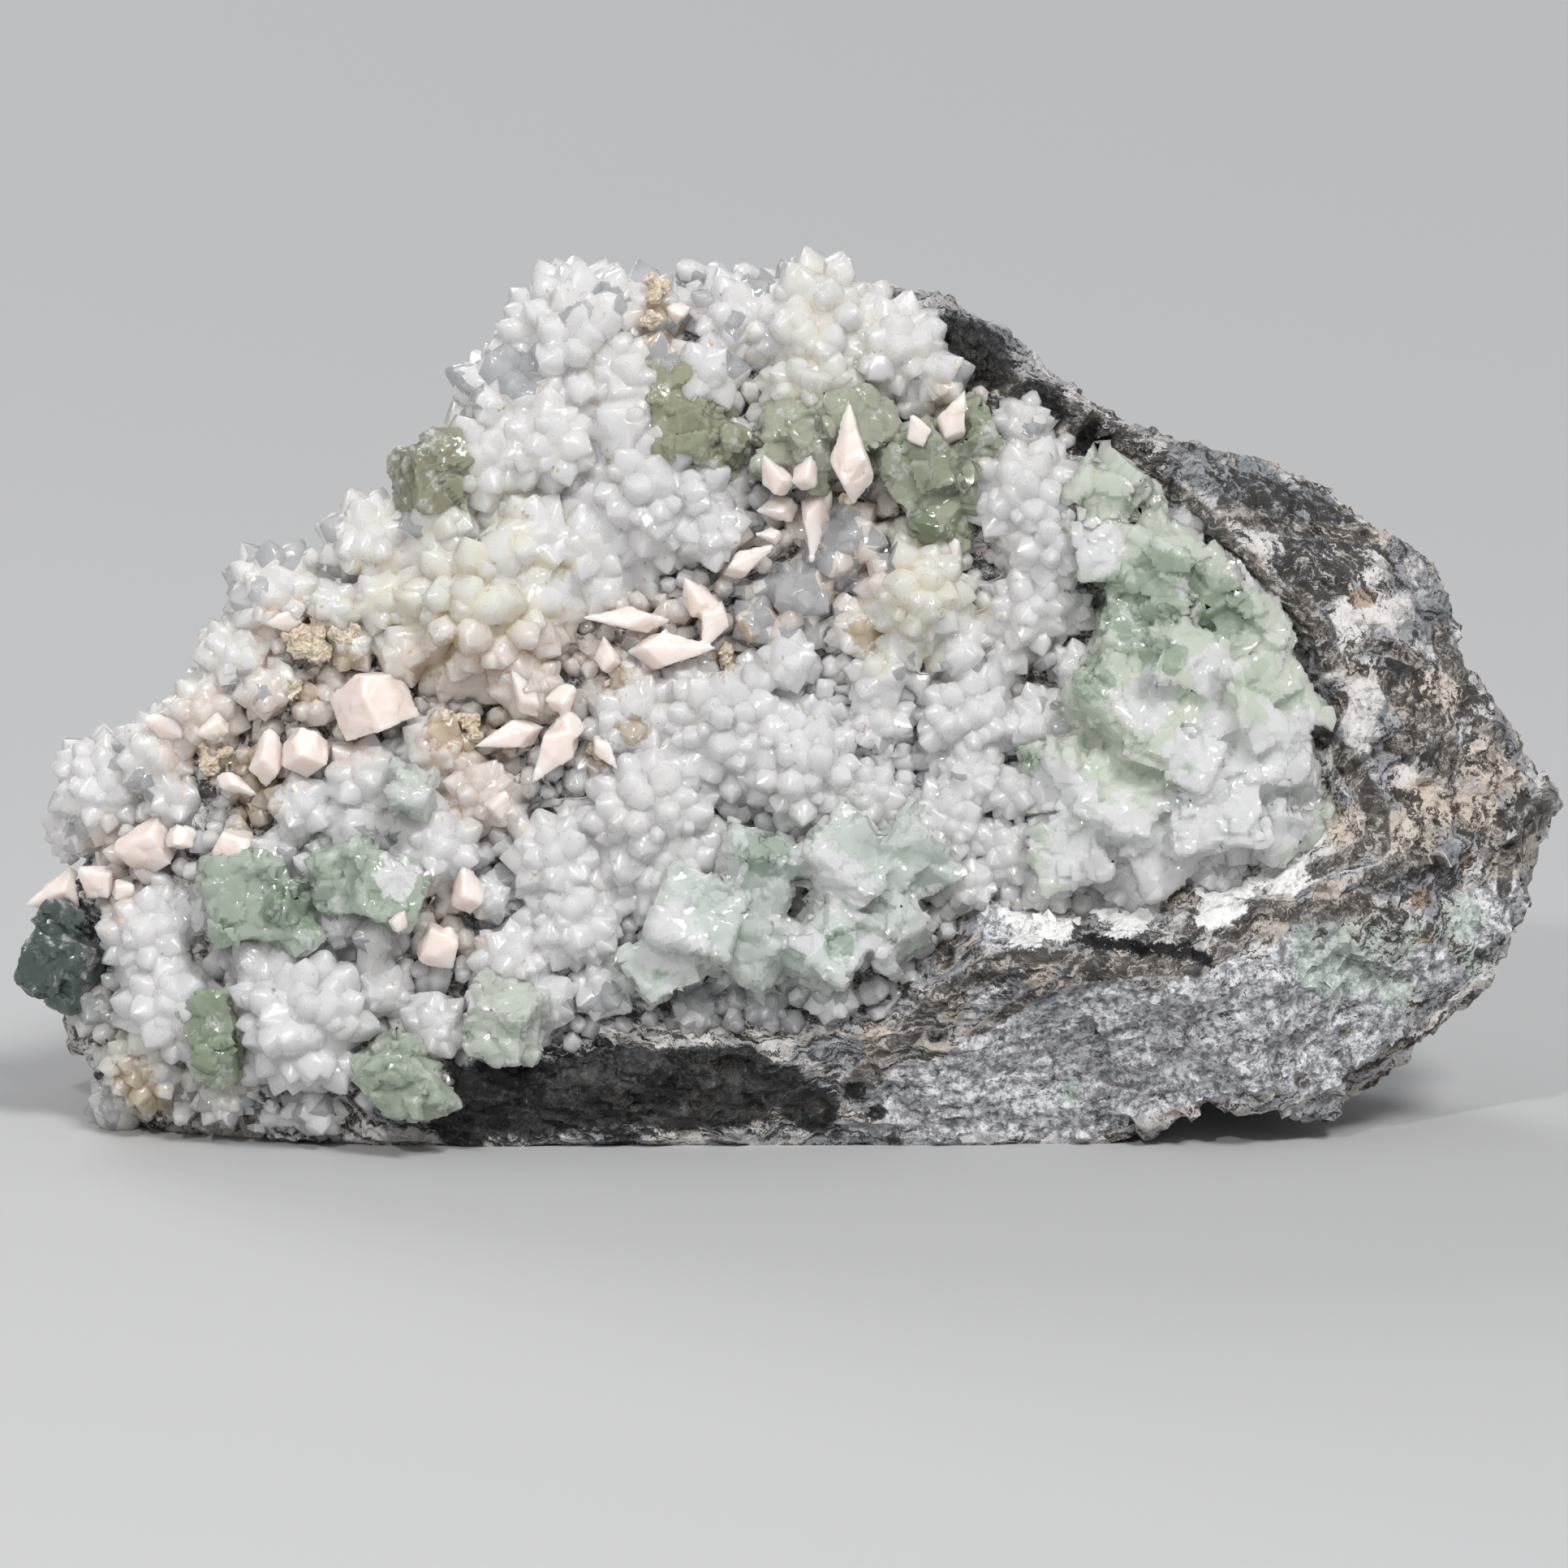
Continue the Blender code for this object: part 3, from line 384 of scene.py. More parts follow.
BLUE_PATCH = (
    (3.2, (52, 88), (59.8, 85.8), (69.5, 81)), (2.2, (83.5, 72.2), (84.5, 69)), (1.5, (81.5, 66)),
    (2.2, (80, 33), (86, 33.5)), (2.0, (24, 100)), (2.0, (31, 15), (36, 18)),
)
RUST_PATCH = ((1.8, (75.1, 70.5)), (1.2, (41.4, 17)), (1.4, (83, 31)), (1.0, (89, 36)), (1.0, (83.5, 25.6)))
POWDER = (
    (5.0, (33.3, 29.7)), (5.0, (44.3, 31)), (4.0, (57, 32)), (3.5, (65, 35)), (3.0, (30, 36)),
    (3.0, (60, 37), (68, 40)), (3.0, (40, 36)), (2.5, (25, 33)),
)
QUARTZ_VEIN = (
    (9.0, (30, 9), (45, 12), (62, 14), (75, 17)), (5.0, (84, 22)), (4.0, (56, 20)), (4.0, (90, 28)),
    (3.0, (94, 30)), (5.0, (18, 4)), (4.0, (66, 22)), (3.0, (28, 28)), (2.5, (14, 28)),
)
GREEN_VEIN = (
    (6.0, (72, 23.3)), (3.5, (88, 28.5)), (2.5, (79.4, 19.3)), (2.2, (90.4, 22.2)), (1.5, (37.3, 6)), (3.0, (80, 26)),
)
WHITE_FELDSPAR = (0.68, 0.65, 0.63)
BEIGE_FELDSPAR = (0.52, 0.46, 0.40)
BROWN_MICA = (0.050, 0.041, 0.034)
BLACK_MICA = (0.012, 0.011, 0.012)
GREY_QUARTZ = (0.30, 0.31, 0.33)
THROUGH_THE_ROCK = ("mica", "blue", "vein", "green")

for name, strokes in (
    ("mica", MICA), ("crevice", PAINTED_CREVICE_SHADOW), ("shade", PAINTED_SHADE), ("pepper", PEPPER), ("white", WHITE_PATCH),
    ("beige", BEIGE_PATCH), ("blue", BLUE_PATCH), ("rust", RUST_PATCH), ("powder", POWDER),
    ("vein", QUARTZ_VEIN), ("green", GREEN_VEIN),
):
    mask = painted(gneiss, name, strokes)
    if name not in THROUGH_THE_ROCK:
        mask *= [min(max(0.5 - 0.1 * vertex.co.y / MM, 0.0), 1.0) for vertex in gneiss.data.vertices]
        gneiss.data.attributes[name].data.foreach_set("value", mask)

rock = Shader("gneiss_rock")
from_fold = rock.vector("SUBTRACT", rock.coordinates, Vector(FOLD_CENTRE) * MM)
ring = rock.vector("MULTIPLY", from_fold, (1.0 / (FOLD_ACROSS * MM), 2.0, 1.0 / (FOLD_UP * MM)))
warp = rock.noise(15.0, 3.0, 0.55)
wander = rock.noise(4.0, 6.0, 0.75)
layer = rock.math("ADD", rock.vector("LENGTH", ring), rock.math("MULTIPLY_ADD", warp, 0.30, -0.15))
layer = rock.math("ADD", layer, rock.math("MULTIPLY_ADD", wander, 0.10, -0.05))
split = rock.tree.nodes.new("ShaderNodeSeparateXYZ")
rock.put(split.inputs[0], ring)
from_middle = rock.math("MINIMUM", rock.math("MULTIPLY", rock.vector("LENGTH", ring), 2.0), 1.0)
round_fold = rock.math("MULTIPLY", rock.math("ARCTAN2", split.outputs["Z"], split.outputs["X"]), from_middle)
unrolled = rock.tree.nodes.new("ShaderNodeCombineXYZ")
rock.put(unrolled.inputs["X"], rock.math("MULTIPLY", layer, 63.0 * MM))
rock.put(unrolled.inputs["Y"], rock.math("MULTIPLY", round_fold, 16.0 * MM))
rock.put(unrolled.inputs["Z"], rock.math("MULTIPLY", split.outputs["Y"], 0.1))
unrolled = unrolled.outputs[0]
speckle = rock.noise(1.1, 4.0, 0.75)
fine = rock.noise(0.65, 3.0, 0.8, 0.0, rock.vector("MULTIPLY", unrolled, (1.0, 0.6, 1.0)))
streak = rock.noise(1.8, 5.0, 0.7, 0.8, unrolled)
colour = rock.mix(rock.ramp(rock.noise(4.0, 4.0, 0.6, 0.6, unrolled), 0.42, 0.58), GREY_QUARTZ, WHITE_FELDSPAR)
colour = rock.mix(rock.ramp(rock.noise(3.4, 4.0, 0.6, 0.5, unrolled), 0.52, 0.64), colour, BEIGE_FELDSPAR)
for name, tint, share in (
    ("white", (0.76, 0.72, 0.70), 0.80), ("beige", (0.64, 0.55, 0.46), 0.80), ("blue", (0.20, 0.23, 0.26), 0.75),
    ("rust", (0.30, 0.17, 0.07), 0.65),
):
    patch = rock.stroke(name, wander)
    colour = rock.mix(rock.math("MULTIPLY", patch, share), colour, tint)
vein = rock.stroke("vein", warp)
vein_colour = rock.mix(rock.ramp(speckle, 0.38, 0.60), (0.18, 0.19, 0.21), (0.80, 0.80, 0.82))
vein_colour = rock.mix(rock.ramp(streak, 0.53, 0.66, 0.0, 0.7), vein_colour, (0.20, 0.18, 0.17))
colour = rock.mix(rock.math("MULTIPLY", vein, 0.92), colour, vein_colour)
green = rock.stroke("green", wander)
colour = rock.mix(rock.math("MULTIPLY", green, 0.5), colour, (0.50, 0.60, 0.50))
pepper = rock.stroke("pepper", wander)
plain = rock.math("SUBTRACT", 1.0, rock.math("MAXIMUM", vein, rock.stroke("white", wander)))
dark_share = rock.math("MULTIPLY", rock.ramp(streak, 0.48, 0.60), plain)
dark_share = rock.math("MAXIMUM", dark_share, pepper)
fleck = rock.math("MULTIPLY_ADD", dark_share, 0.13, fine)
fleck = rock.math("MULTIPLY_ADD", rock.math("SUBTRACT", wander, 0.5), 0.18, fleck)
fleck = rock.math("MULTIPLY_ADD", plain, 0.05, fleck)
fleck = rock.ramp(fleck, 0.58, 0.64)
colour = rock.mix(rock.math("MULTIPLY", fleck, 0.94), colour, rock.mix(wander, BROWN_MICA, BLACK_MICA))
broken = rock.math("MULTIPLY_ADD", streak, 0.35, rock.math("MULTIPLY", wander, 0.30))
broken = rock.math("MULTIPLY_ADD", fine, 0.35, broken)
mica = rock.stroke("mica", broken)
mica_colour = rock.bands(
    fine, ((0.0, BLACK_MICA), (0.46, BROWN_MICA), (0.53, (0.15, 0.13, 0.115)), (0.60, (0.50, 0.46, 0.43)))
)
colour = rock.mix(rock.math("MULTIPLY", mica, 0.95), colour, mica_colour)
# Painted shade: under the crust and along its top edge the rock is painted near black, speckled a little lighter.
painted_shade_edge = rock.math("MULTIPLY_ADD", warp, 0.15, rock.math("MULTIPLY", wander, 0.40))
shade = rock.stroke("shade", rock.math("MULTIPLY_ADD", fine, 0.45, painted_shade_edge))
painted_shade_colour = rock.mix(rock.ramp(speckle, 0.54, 0.70), (0.004, 0.004, 0.004), (0.09, 0.09, 0.09))
colour = rock.mix(rock.math("MULTIPLY", shade, 0.92), colour, painted_shade_colour)
colour = rock.mix(rock.stroke("powder", wander), colour, (0.88, 0.87, 0.86))
# Painted shadow: the crevice is painted near black.
colour = rock.mix(rock.stroke("crevice", speckle), colour, (0.006, 0.006, 0.006))
relief = rock.bump(speckle, 0.5)
relief = rock.bump(rock.facets(1.3), 1.0, relief)
glassy = rock.math("MAXIMUM", vein, mica)
sheen = rock.ramp(speckle, 0.3, 0.7, 0.75, 0.38)
sheen = rock.math("MULTIPLY", sheen, rock.ramp(glassy, 0.2, 0.8, 1.0, 0.5))
rock.set(Base_Color=colour, Roughness=sheen, Normal=relief, Specular_IOR_Level=0.36)
gneiss.data.materials.append(rock.material)
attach(gneiss, "root")
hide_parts("gneiss_matrix")


# The quartz druse: a crust of milky quartz over the pocket. Crystals radiate from one seed after another,
# which gives the crust its cushions. Their tips are six-sided points, cream in places and clear in others.
LONG_PRISM = 2.0
SHORT_PRISM = 1.3
POINT_SLOPE = math.radians(51.8)
TIP_VARIANTS = 8


def quartz_tip(name, draw, length):
    """A hexagonal prism one unit wide, cut to its point by six planes, three of them set deeper."""
    bpy.ops.object.select_all(action="DESELECT")
    bpy.ops.mesh.primitive_cylinder_add(vertices=6, radius=0.5, depth=length, location=(0, 0, 0))
    made = bpy.context.object
    made.name = name
    bpy.ops.object.mode_set(mode="EDIT")
    for face in range(6):
        around = math.radians(30.0 + 60.0 * face)
        outward = Vector((math.sin(POINT_SLOPE) * math.cos(around), math.sin(POINT_SLOPE) * math.sin(around),
                          math.cos(POINT_SLOPE)))
        deeper = draw.uniform(0.04, 0.10) if face % 2 else draw.uniform(-0.10, 0.02)
        height = 0.5 * length - deeper
        bpy.ops.mesh.select_all(action="SELECT")
        bpy.ops.mesh.bisect(plane_co=(0, 0, height), plane_no=outward, use_fill=True, clear_outer=True)
    bpy.ops.mesh.select_all(action="SELECT")
    bpy.ops.mesh.normals_make_consistent(inside=False)
    bpy.ops.object.mode_set(mode="OBJECT")
    made.data.transform(Matrix.Translation((0, 0, -0.5 * length)))
    return made


seed_crystals = bpy.data.collections.new("seed_crystals")
bpy.context.scene.collection.children.link(seed_crystals)
for i in range(2 * TIP_VARIANTS):
    tip = quartz_tip(f"a_quartz_tip_{i:02d}", random.Random(i), LONG_PRISM if i < TIP_VARIANTS else SHORT_PRISM)
    for collection in list(tip.users_collection):
        collection.objects.unlink(tip)
    seed_crystals.objects.link(tip)
bpy.ops.mesh.primitive_ico_sphere_add(subdivisions=2, radius=0.5, location=(0, 0, 0))
core = bpy.context.object
core.name = "seed_core"
for collection in list(core.users_collection):
    collection.objects.unlink(core)
seed_crystals.objects.link(core)
CORE = 2 * TIP_VARIANTS


def pocket_floor(x, z):
    """How far back the pocket's floor lies: it leans back, and falls away at the left, top and foot."""
    lean = -23.0 + 0.18 * z
    left = 0.010 * max(0.0, -55.0 - x) ** 2
    top = 0.020 * max(0.0, z - 95.0) ** 2
    foot = 0.040 * max(0.0, 12.0 - z) ** 2
    return lean + left + top + foot


def outward(x, z):
    along_x = Vector((2.0, pocket_floor(x + 1.0, z) - pocket_floor(x - 1.0, z), 0.0))
    along_z = Vector((0.0, pocket_floor(x, z + 1.0) - pocket_floor(x, z - 1.0), 2.0))
    return along_x.cross(along_z).normalized()


def on_floor(across, up):
    point = picture_point(across, up)
    way = (point - EYE).normalized()
    for _ in range(12):
        point += way * ((pocket_floor(point.x, point.z) - point.y) / way.y)
    return point


# Across, up, radius, height proud of the rock, crystal width, cream from 0 to 1, clear from 0 to 1.
CUSHIONS = (
    (-27, 104, 12.0, 9.0, 4.6, 0.1, 0.3), (-18, 108, 7.0, 6.0, 4.2, 0.1, 0.5), (-20, 99, 8.0, 8.0, 4.4, 0.2, 0.2),
    (-37, 97, 8.0, 7.0, 4.4, 0.1, 0.5), (-40, 88, 8.5, 8.0, 4.8, 0.3, 0.2), (-31, 91, 8.0, 9.0, 4.6, 0.2, 0.1),
    (-55, 78, 7.0, 6.5, 4.2, 0.4, 0.4), (-46, 81, 7.0, 8.0, 4.4, 0.6, 0.1), (-40, 69, 13.0, 12.0, 4.6, 1.0, 0.1),
    (-33, 78, 7.0, 9.0, 4.8, 0.4, 0.1), (-34, 59, 6.0, 8.0, 4.0, 0.9, 0.2), (-17, 84, 11.0, 11.0, 4.4, 0.0, 0.0),
    (-21, 93, 6.0, 9.0, 4.8, 0.1, 0.0), (-26, 77, 7.0, 8.0, 4.2, 0.1, 0.3), (-10, 79, 6.0, 9.0, 3.8, 0.0, 0.1),
    (4, 106, 11.0, 9.0, 4.2, 0.5, 0.2), (-7, 107, 7.0, 7.0, 3.8, 0.0, 0.4), (14, 103, 8.0, 8.0, 4.4, 0.2, 0.3),
    (-11, 99, 6.5, 8.0, 4.6, 0.0, 0.3), (3, 98, 8.0, 8.0, 3.6, 0.6, 0.1), (20, 99, 5.0, 6.0, 3.6, 0.3, 0.3),
    (-7, 91, 4.5, 5.0, 3.6, 0.2, 0.3), (31, 84, 9.0, 9.0, 3.8, 0.1, 0.1), (35, 77, 7.5, 9.0, 3.6, 0.0, 0.1),
    (32, 69, 7.0, 8.0, 3.6, 0.1, 0.2), (31, 93, 5.0, 5.0, 3.2, 0.2, 0.3), (51, 80, 4.5, 5.0, 4.0, 0.0, 0.6),
    (7, 78, 7.0, 7.0, 4.4, 0.1, 0.5), (2, 71, 6.0, 6.0, 4.4, 0.0, 0.7), (17, 71, 8.5, 10.0, 4.2, 0.9, 0.1),
    (0, 62, 5.0, 8.0, 4.2, 0.0, 0.0), (12, 60, 5.5, 6.0, 3.8, 0.2, 0.4), (23, 63, 3.5, 6.0, 3.6, 0.0, 0.5),
    (29, 63, 4.0, 5.0, 3.6, 0.1, 0.4), (24, 54, 9.0, 7.0, 3.4, 0.0, 0.1), (12, 54, 6.0, 5.0, 3.0, 0.0, 0.3),
    (33, 54, 6.0, 6.0, 3.4, 0.1, 0.3), (-20, 54, 8.0, 8.0, 4.0, 0.1, 0.1), (-8, 53, 11.0, 10.0, 3.8, 0.0, 0.0),
    (2, 48, 10.0, 9.0, 3.6, 0.0, 0.0), (-18, 42, 11.0, 10.0, 3.8, 0.1, 0.0), (-30, 36, 8.0, 8.0, 4.0, 0.0, 0.0),
    (-28, 28, 8.0, 8.5, 3.8, 0.0, 0.0), (-16, 34, 9.0, 8.0, 3.8, 0.0, 0.0), (10, 44, 7.0, 6.5, 3.4, 0.0, 0.1),
    (-36, 23, 6.5, 8.0, 3.8, 0.0, 0.2), (-31, 18, 4.5, 7.0, 3.4, 0.1, 0.3), (-24, 19, 5.0, 6.0, 3.2, 0.0, 0.4),
    (-63, 43, 5.5, 7.0, 3.8, 0.0, 0.1), (-55, 47, 6.5, 8.0, 4.4, 0.0, 0.2), (-46, 51, 6.0, 7.0, 4.0, 0.1, 0.1),
    (-40, 45, 6.0, 7.0, 4.0, 0.2, 0.2), (-46, 38, 7.5, 9.0, 4.2, 0.0, 0.1), (-56, 40, 5.5, 7.0, 3.8, 0.0, 0.3),
    (-89, 46, 8.0, 8.0, 4.0, 0.1, 0.3), (-82, 50, 7.0, 7.0, 4.2, 0.2, 0.2), (-93, 40, 5.0, 5.0, 3.6, 0.1, 0.5),
    (-72, 63, 6.0, 6.0, 3.8, 0.4, 0.3), (-67, 71, 7.5, 7.0, 4.2, 0.3, 0.4), (-76, 55, 6.5, 6.5, 3.8, 0.4, 0.2),
    (-83, 26, 8.0, 8.0, 4.0, 0.0, 0.1), (-80, 17, 9.0, 9.0, 4.6, 0.0, 0.0), (-63, 15, 11.0, 11.0, 4.4, 0.0, 0.1),
    (-68, 22, 5.0, 7.0, 3.8, 0.0, 0.1), (-84, 9, 6.5, 6.0, 3.2, 0.8, 0.3), (-46, 14, 5.5, 7.5, 3.6, 0.0, 0.2),
    (-59, 28, 4.0, 7.0, 4.2, 0.1, 0.5), (-54, 26, 3.5, 7.0, 3.8, 0.1, 0.5), (-91, 17, 4.5, 4.0, 3.2, 0.5, 0.4),
    (-59, 69, 4.5, 6.5, 3.2, 0.5, 0.3), (-68, 58, 4.5, 6.0, 3.2, 0.3, 0.3), (-50, 63, 5.0, 7.0, 3.6, 0.9, 0.2),
    (-24, 71, 4.5, 6.0, 3.6, 0.3, 0.3), (-4, 67, 4.0, 5.5, 3.2, 0.1, 0.5), (9, 66, 4.5, 6.0, 3.4, 0.5, 0.3),
    (-13, 59, 4.0, 6.0, 3.0, 0.2, 0.2), (21, 41, 7.0, 7.0, 3.2, 0.0, 0.2), (30, 45, 5.0, 6.5, 3.0, 0.0, 0.2),
    (29, 37, 5.5, 6.0, 3.0, 0.1, 0.2), (24, 33, 4.5, 6.0, 3.0, 0.1, 0.3), (-67, 36, 5.0, 6.5, 3.6, 0.1, 0.3),
    (-80, 44, 5.0, 5.0, 3.6, 0.2, 0.4), (-75, 30, 5.0, 5.0, 3.4, 0.0, 0.4), (-39, 31, 4.0, 5.0, 3.2, 0.1, 0.3),
    (-53, 19, 4.5, 6.0, 3.4, 0.0, 0.3), (-62, 35, 3.5, 5.0, 3.2, 0.1, 0.5), (38, 61, 4.5, 5.0, 3.4, 0.1, 0.4),
    (-12, 16, 4.0, 3.5, 2.6, 0.1, 0.7), (-3, 17, 4.0, 3.5, 2.6, 0.1, 0.7), (-74, 5, 5.0, 4.0, 3.0, 0.6, 0.4),
    (-53, 70, 5.0, 7.0, 3.6, 0.9, 0.1), (-57, 64, 4.0, 5.5, 3.2, 0.8, 0.2), (6, 18, 4.0, 5.5, 2.8, 0.0, 0.6),
    (15, 64, 4.5, 6.0, 3.4, 0.8, 0.2), (24, 47, 5.0, 6.5, 3.0, 0.0, 0.3), (-20, 60, 4.0, 5.5, 3.0, 0.3, 0.3),
    (34, 33, 5.0, 5.5, 2.8, 0.1, 0.2), (45, 33, 5.0, 5.5, 2.8, 0.0, 0.2), (56, 35, 5.0, 6.0, 2.8, 0.0, 0.3),
    (-88, 3, 5.0, 4.0, 3.0, 0.7, 0.3), (-62, 3, 5.5, 4.0, 3.4, 0.1, 0.4), (37, 69, 4.5, 5.0, 3.2, 0.1, 0.4),
)
CORE_SHARE = 0.74
CRYSTAL_SCALE = 1.04
LAYERS = ((1.0, (0.98, 1.12), 6.2), (0.65, (0.90, 1.02), 1.3))
CARPET_STEP = 2.5
RIM_SUNK = 8.0
SMALL_CRYSTALS_APART = 2.0
SMALL_CRYSTAL_WIDE = 2.5
WIDEST = math.radians(84.0)
EDGE_WIDEST = math.radians(118.0)
LOWEST_TIP = 1.5


def turned_to(direction, twist):
    return direction.to_track_quat("Z", "Y").to_matrix().to_4x4() @ Matrix.Rotation(twist, 4, "Z")


def spread_directions(outwards, count, widest, draw):
    turn = turned_to(outwards, draw.uniform(0.0, math.tau))
    for i in range(count):
        polar = math.acos(1.0 - (i + 0.5) / count * (1.0 - math.cos(widest))) + draw.uniform(-0.10, 0.10)
        around = i * math.pi * (3.0 - math.sqrt(5.0)) + draw.uniform(-0.3, 0.3)
        yield turn @ Vector((math.sin(polar) * math.cos(around), math.sin(polar) * math.sin(around),
                             math.cos(polar)))


RIM = (
    (3.5, (24.5, 103), (29, 97), (37, 91), (44, 89), (47, 83), (56, 78), (60, 73.5), (68, 66), (71, 57), (69, 50),
     (68, 42), (66, 36), (58, 33), (45, 30), (30, 31), (20, 25), (12, 20), (4, 15), (-30, 12), (-44, 7)),
    (6.0, (70, 38), (66, 35)),
)
quartz_base = copy_of_node("quartz_crust", "quartz_base")
remeshed(quartz_base, 1.2)

rows = {}
for across, up in zip(*in_picture(quartz_base)):
    rows.setdefault(round(up / CARPET_STEP), []).append(across)

crystals = []
for i, (across, up, radius, proud, width, cream, clear) in enumerate(CUSHIONS):
    beside = rows.get(round(up / CARPET_STEP), [across])
    above = rows.get(round((up + radius + 4.0) / CARPET_STEP), [])
    on_edge = across - radius - 4.0 < min(beside) or not above or not min(above) < across < max(above)
    widest = EDGE_WIDEST if on_edge else WIDEST
    draw = random.Random(500 + i)
    floor_point = on_floor(across, up)
    out = outward(floor_point.x, floor_point.z)
    centre = floor_point - out * (radius - proud)
    crystals.append((centre, out, CORE_SHARE * 2.0 * radius, 0.0, CORE, cream, 0.0))
    for share, reach_range, cover in LAYERS:
        wide = width * share * CRYSTAL_SCALE
        count = max(2, round(cover * (radius / wide) ** 2 * (1.0 - math.cos(widest))))
        for direction in spread_directions(out, count, widest, draw):
            size = wide * draw.uniform(0.8, 1.25)
            lean = Vector([draw.uniform(-0.12, 0.12) for _ in range(3)])
            direction = (direction + lean).normalized()
            tip = centre + direction * radius * draw.uniform(*reach_range)
            if tip.z < LOWEST_TIP:
                continue
            crystals.append((tip, direction, size, draw.uniform(0.0, math.tau), draw.randrange(TIP_VARIANTS),
                             cream + draw.uniform(-0.12, 0.12), clear + draw.uniform(-0.25, 0.25)))

# Between the cushions the rock is carpeted with small crystals, as creamy and clear as the nearest cushion.
for row, places in sorted(rows.items()):
    draw = random.Random(9000 + row)
    if not all(near in rows for near in (row - 1, row + 1)):
        continue
    left = max(min(rows[near]) for near in (row - 1, row, row + 1)) + 2.0
    right = min(max(rows[near]) for near in (row - 1, row, row + 1)) - 1.0
    for step in range(max(0, int((right - left) / CARPET_STEP))):
        across = left + (step + draw.uniform(0.1, 0.9)) * CARPET_STEP
        up = (row + draw.uniform(-0.4, 0.4)) * CARPET_STEP
        near = min(CUSHIONS, key=lambda c: math.hypot(c[0] - across, c[1] - up) - c[2])
        floor_point = on_floor(across, up)
        lean = Vector([draw.uniform(-0.5, 0.5) for _ in range(3)])
        direction = (outward(floor_point.x, floor_point.z) + lean).normalized()
        tip = floor_point + direction * draw.uniform(2.0, 4.2)
        if math.hypot(near[0] - across, near[1] - up) < 0.8 * near[2] or tip.z < LOWEST_TIP:
            continue
        crystals.append((tip, direction, draw.uniform(2.2, 3.6), draw.uniform(0.0, math.tau),
                         draw.randrange(TIP_VARIANTS), near[5] + draw.uniform(-0.1, 0.2),
                         0.5 * near[6] + draw.uniform(-0.3, 0.2)))

for vertex, share in zip(quartz_base.data.vertices, painted(quartz_base, "rim", RIM)):
    vertex.co.y += RIM_SUNK * MM * share
soften = quartz_base.modifiers.new("Soften", "SMOOTH")
soften.iterations = 8
shrink = quartz_base.modifiers.new("Shrink", "DISPLACE")
shrink.strength = -1.1 * MM
shrink.mid_level = 0.0
apply_modifiers(quartz_base)
remeshed(quartz_base, 1.2)
fractured(quartz_base, 2.8, 1.6, 0.9)

points = bpy.data.meshes.new("crystal_places")
points.vertices.add(len(crystals))
points.vertices.foreach_set("co", [value * MM for crystal in crystals for value in crystal[0]])
turns = points.attributes.new("turn", "QUATERNION", "POINT")
for item, crystal in zip(turns.data, crystals):
    item.value = turned_to(crystal[1], crystal[3]).to_quaternion()
for name, column in (("size", 2), ("cream", 5), ("clear", 6)):
    points.attributes.new(name, "FLOAT", "POINT").data.foreach_set("value", [c[column] for c in crystals])
points.attributes.new("tip", "INT", "POINT").data.foreach_set("value", [c[4] for c in crystals])
druse = bpy.data.objects.new("quartz_druse", points)
bpy.context.scene.collection.objects.link(druse)

grow = bpy.data.node_groups.new("grow_crystals", "GeometryNodeTree")
grow.interface.new_socket("Geometry", in_out="INPUT", socket_type="NodeSocketGeometry")
grow.interface.new_socket("Geometry", in_out="OUTPUT", socket_type="NodeSocketGeometry")
enter = grow.nodes.new("NodeGroupInput")
leave = grow.nodes.new("NodeGroupOutput")
pick = grow.nodes.new("GeometryNodeCollectionInfo")
pick.inputs["Collection"].default_value = seed_crystals
pick.inputs["Separate Children"].default_value = True
pick.inputs["Reset Children"].default_value = True
place = grow.nodes.new("GeometryNodeInstanceOnPoints")
place.inputs["Pick Instance"].default_value = True


def named(kind, name):
    node = grow.nodes.new("GeometryNodeInputNamedAttribute")
    node.data_type = kind
    node.inputs["Name"].default_value = name
    return node.outputs["Attribute"]


scale = grow.nodes.new("ShaderNodeVectorMath")
scale.operation = "SCALE"
scale.inputs[0].default_value = (MM, MM, MM)
grow.links.new(named("FLOAT", "size"), scale.inputs["Scale"])
grow.links.new(enter.outputs[0], place.inputs["Points"])
grow.links.new(pick.outputs[0], place.inputs["Instance"])
grow.links.new(named("INT", "tip"), place.inputs["Instance Index"])
grow.links.new(named("QUATERNION", "turn"), place.inputs["Rotation"])
grow.links.new(scale.outputs[0], place.inputs["Scale"])
base = grow.nodes.new("GeometryNodeObjectInfo")
base.inputs["Object"].default_value = quartz_base
scatter = grow.nodes.new("GeometryNodeDistributePointsOnFaces")
scatter.distribute_method = "POISSON"
scatter.inputs["Distance Min"].default_value = SMALL_CRYSTALS_APART * MM
scatter.inputs["Density Max"].default_value = 400000.0
scatter.inputs["Seed"].default_value = 3
facing = grow.nodes.new("ShaderNodeVectorMath")
facing.operation = "DOT_PRODUCT"
facing.inputs[1].default_value = (0.0, -1.0, 0.3)
forward = grow.nodes.new("FunctionNodeCompare")
forward.inputs[1].default_value = 0.25
grow.links.new(grow.nodes.new("GeometryNodeInputNormal").outputs[0], facing.inputs[0])
grow.links.new(facing.outputs["Value"], forward.inputs[0])
grow.links.new(forward.outputs[0], scatter.inputs["Selection"])
lean = grow.nodes.new("FunctionNodeRandomValue")
lean.data_type = "FLOAT_VECTOR"
lean.inputs["Min"].default_value = (-0.45, -0.45, -3.0)
lean.inputs["Max"].default_value = (0.45, 0.45, 3.0)
lean_turn = grow.nodes.new("FunctionNodeEulerToRotation")
leaning = grow.nodes.new("FunctionNodeRotateRotation")
leaning.rotation_space = "LOCAL"
small_size = grow.nodes.new("FunctionNodeRandomValue")
small_size.inputs[2].default_value = 0.75 * SMALL_CRYSTAL_WIDE * MM
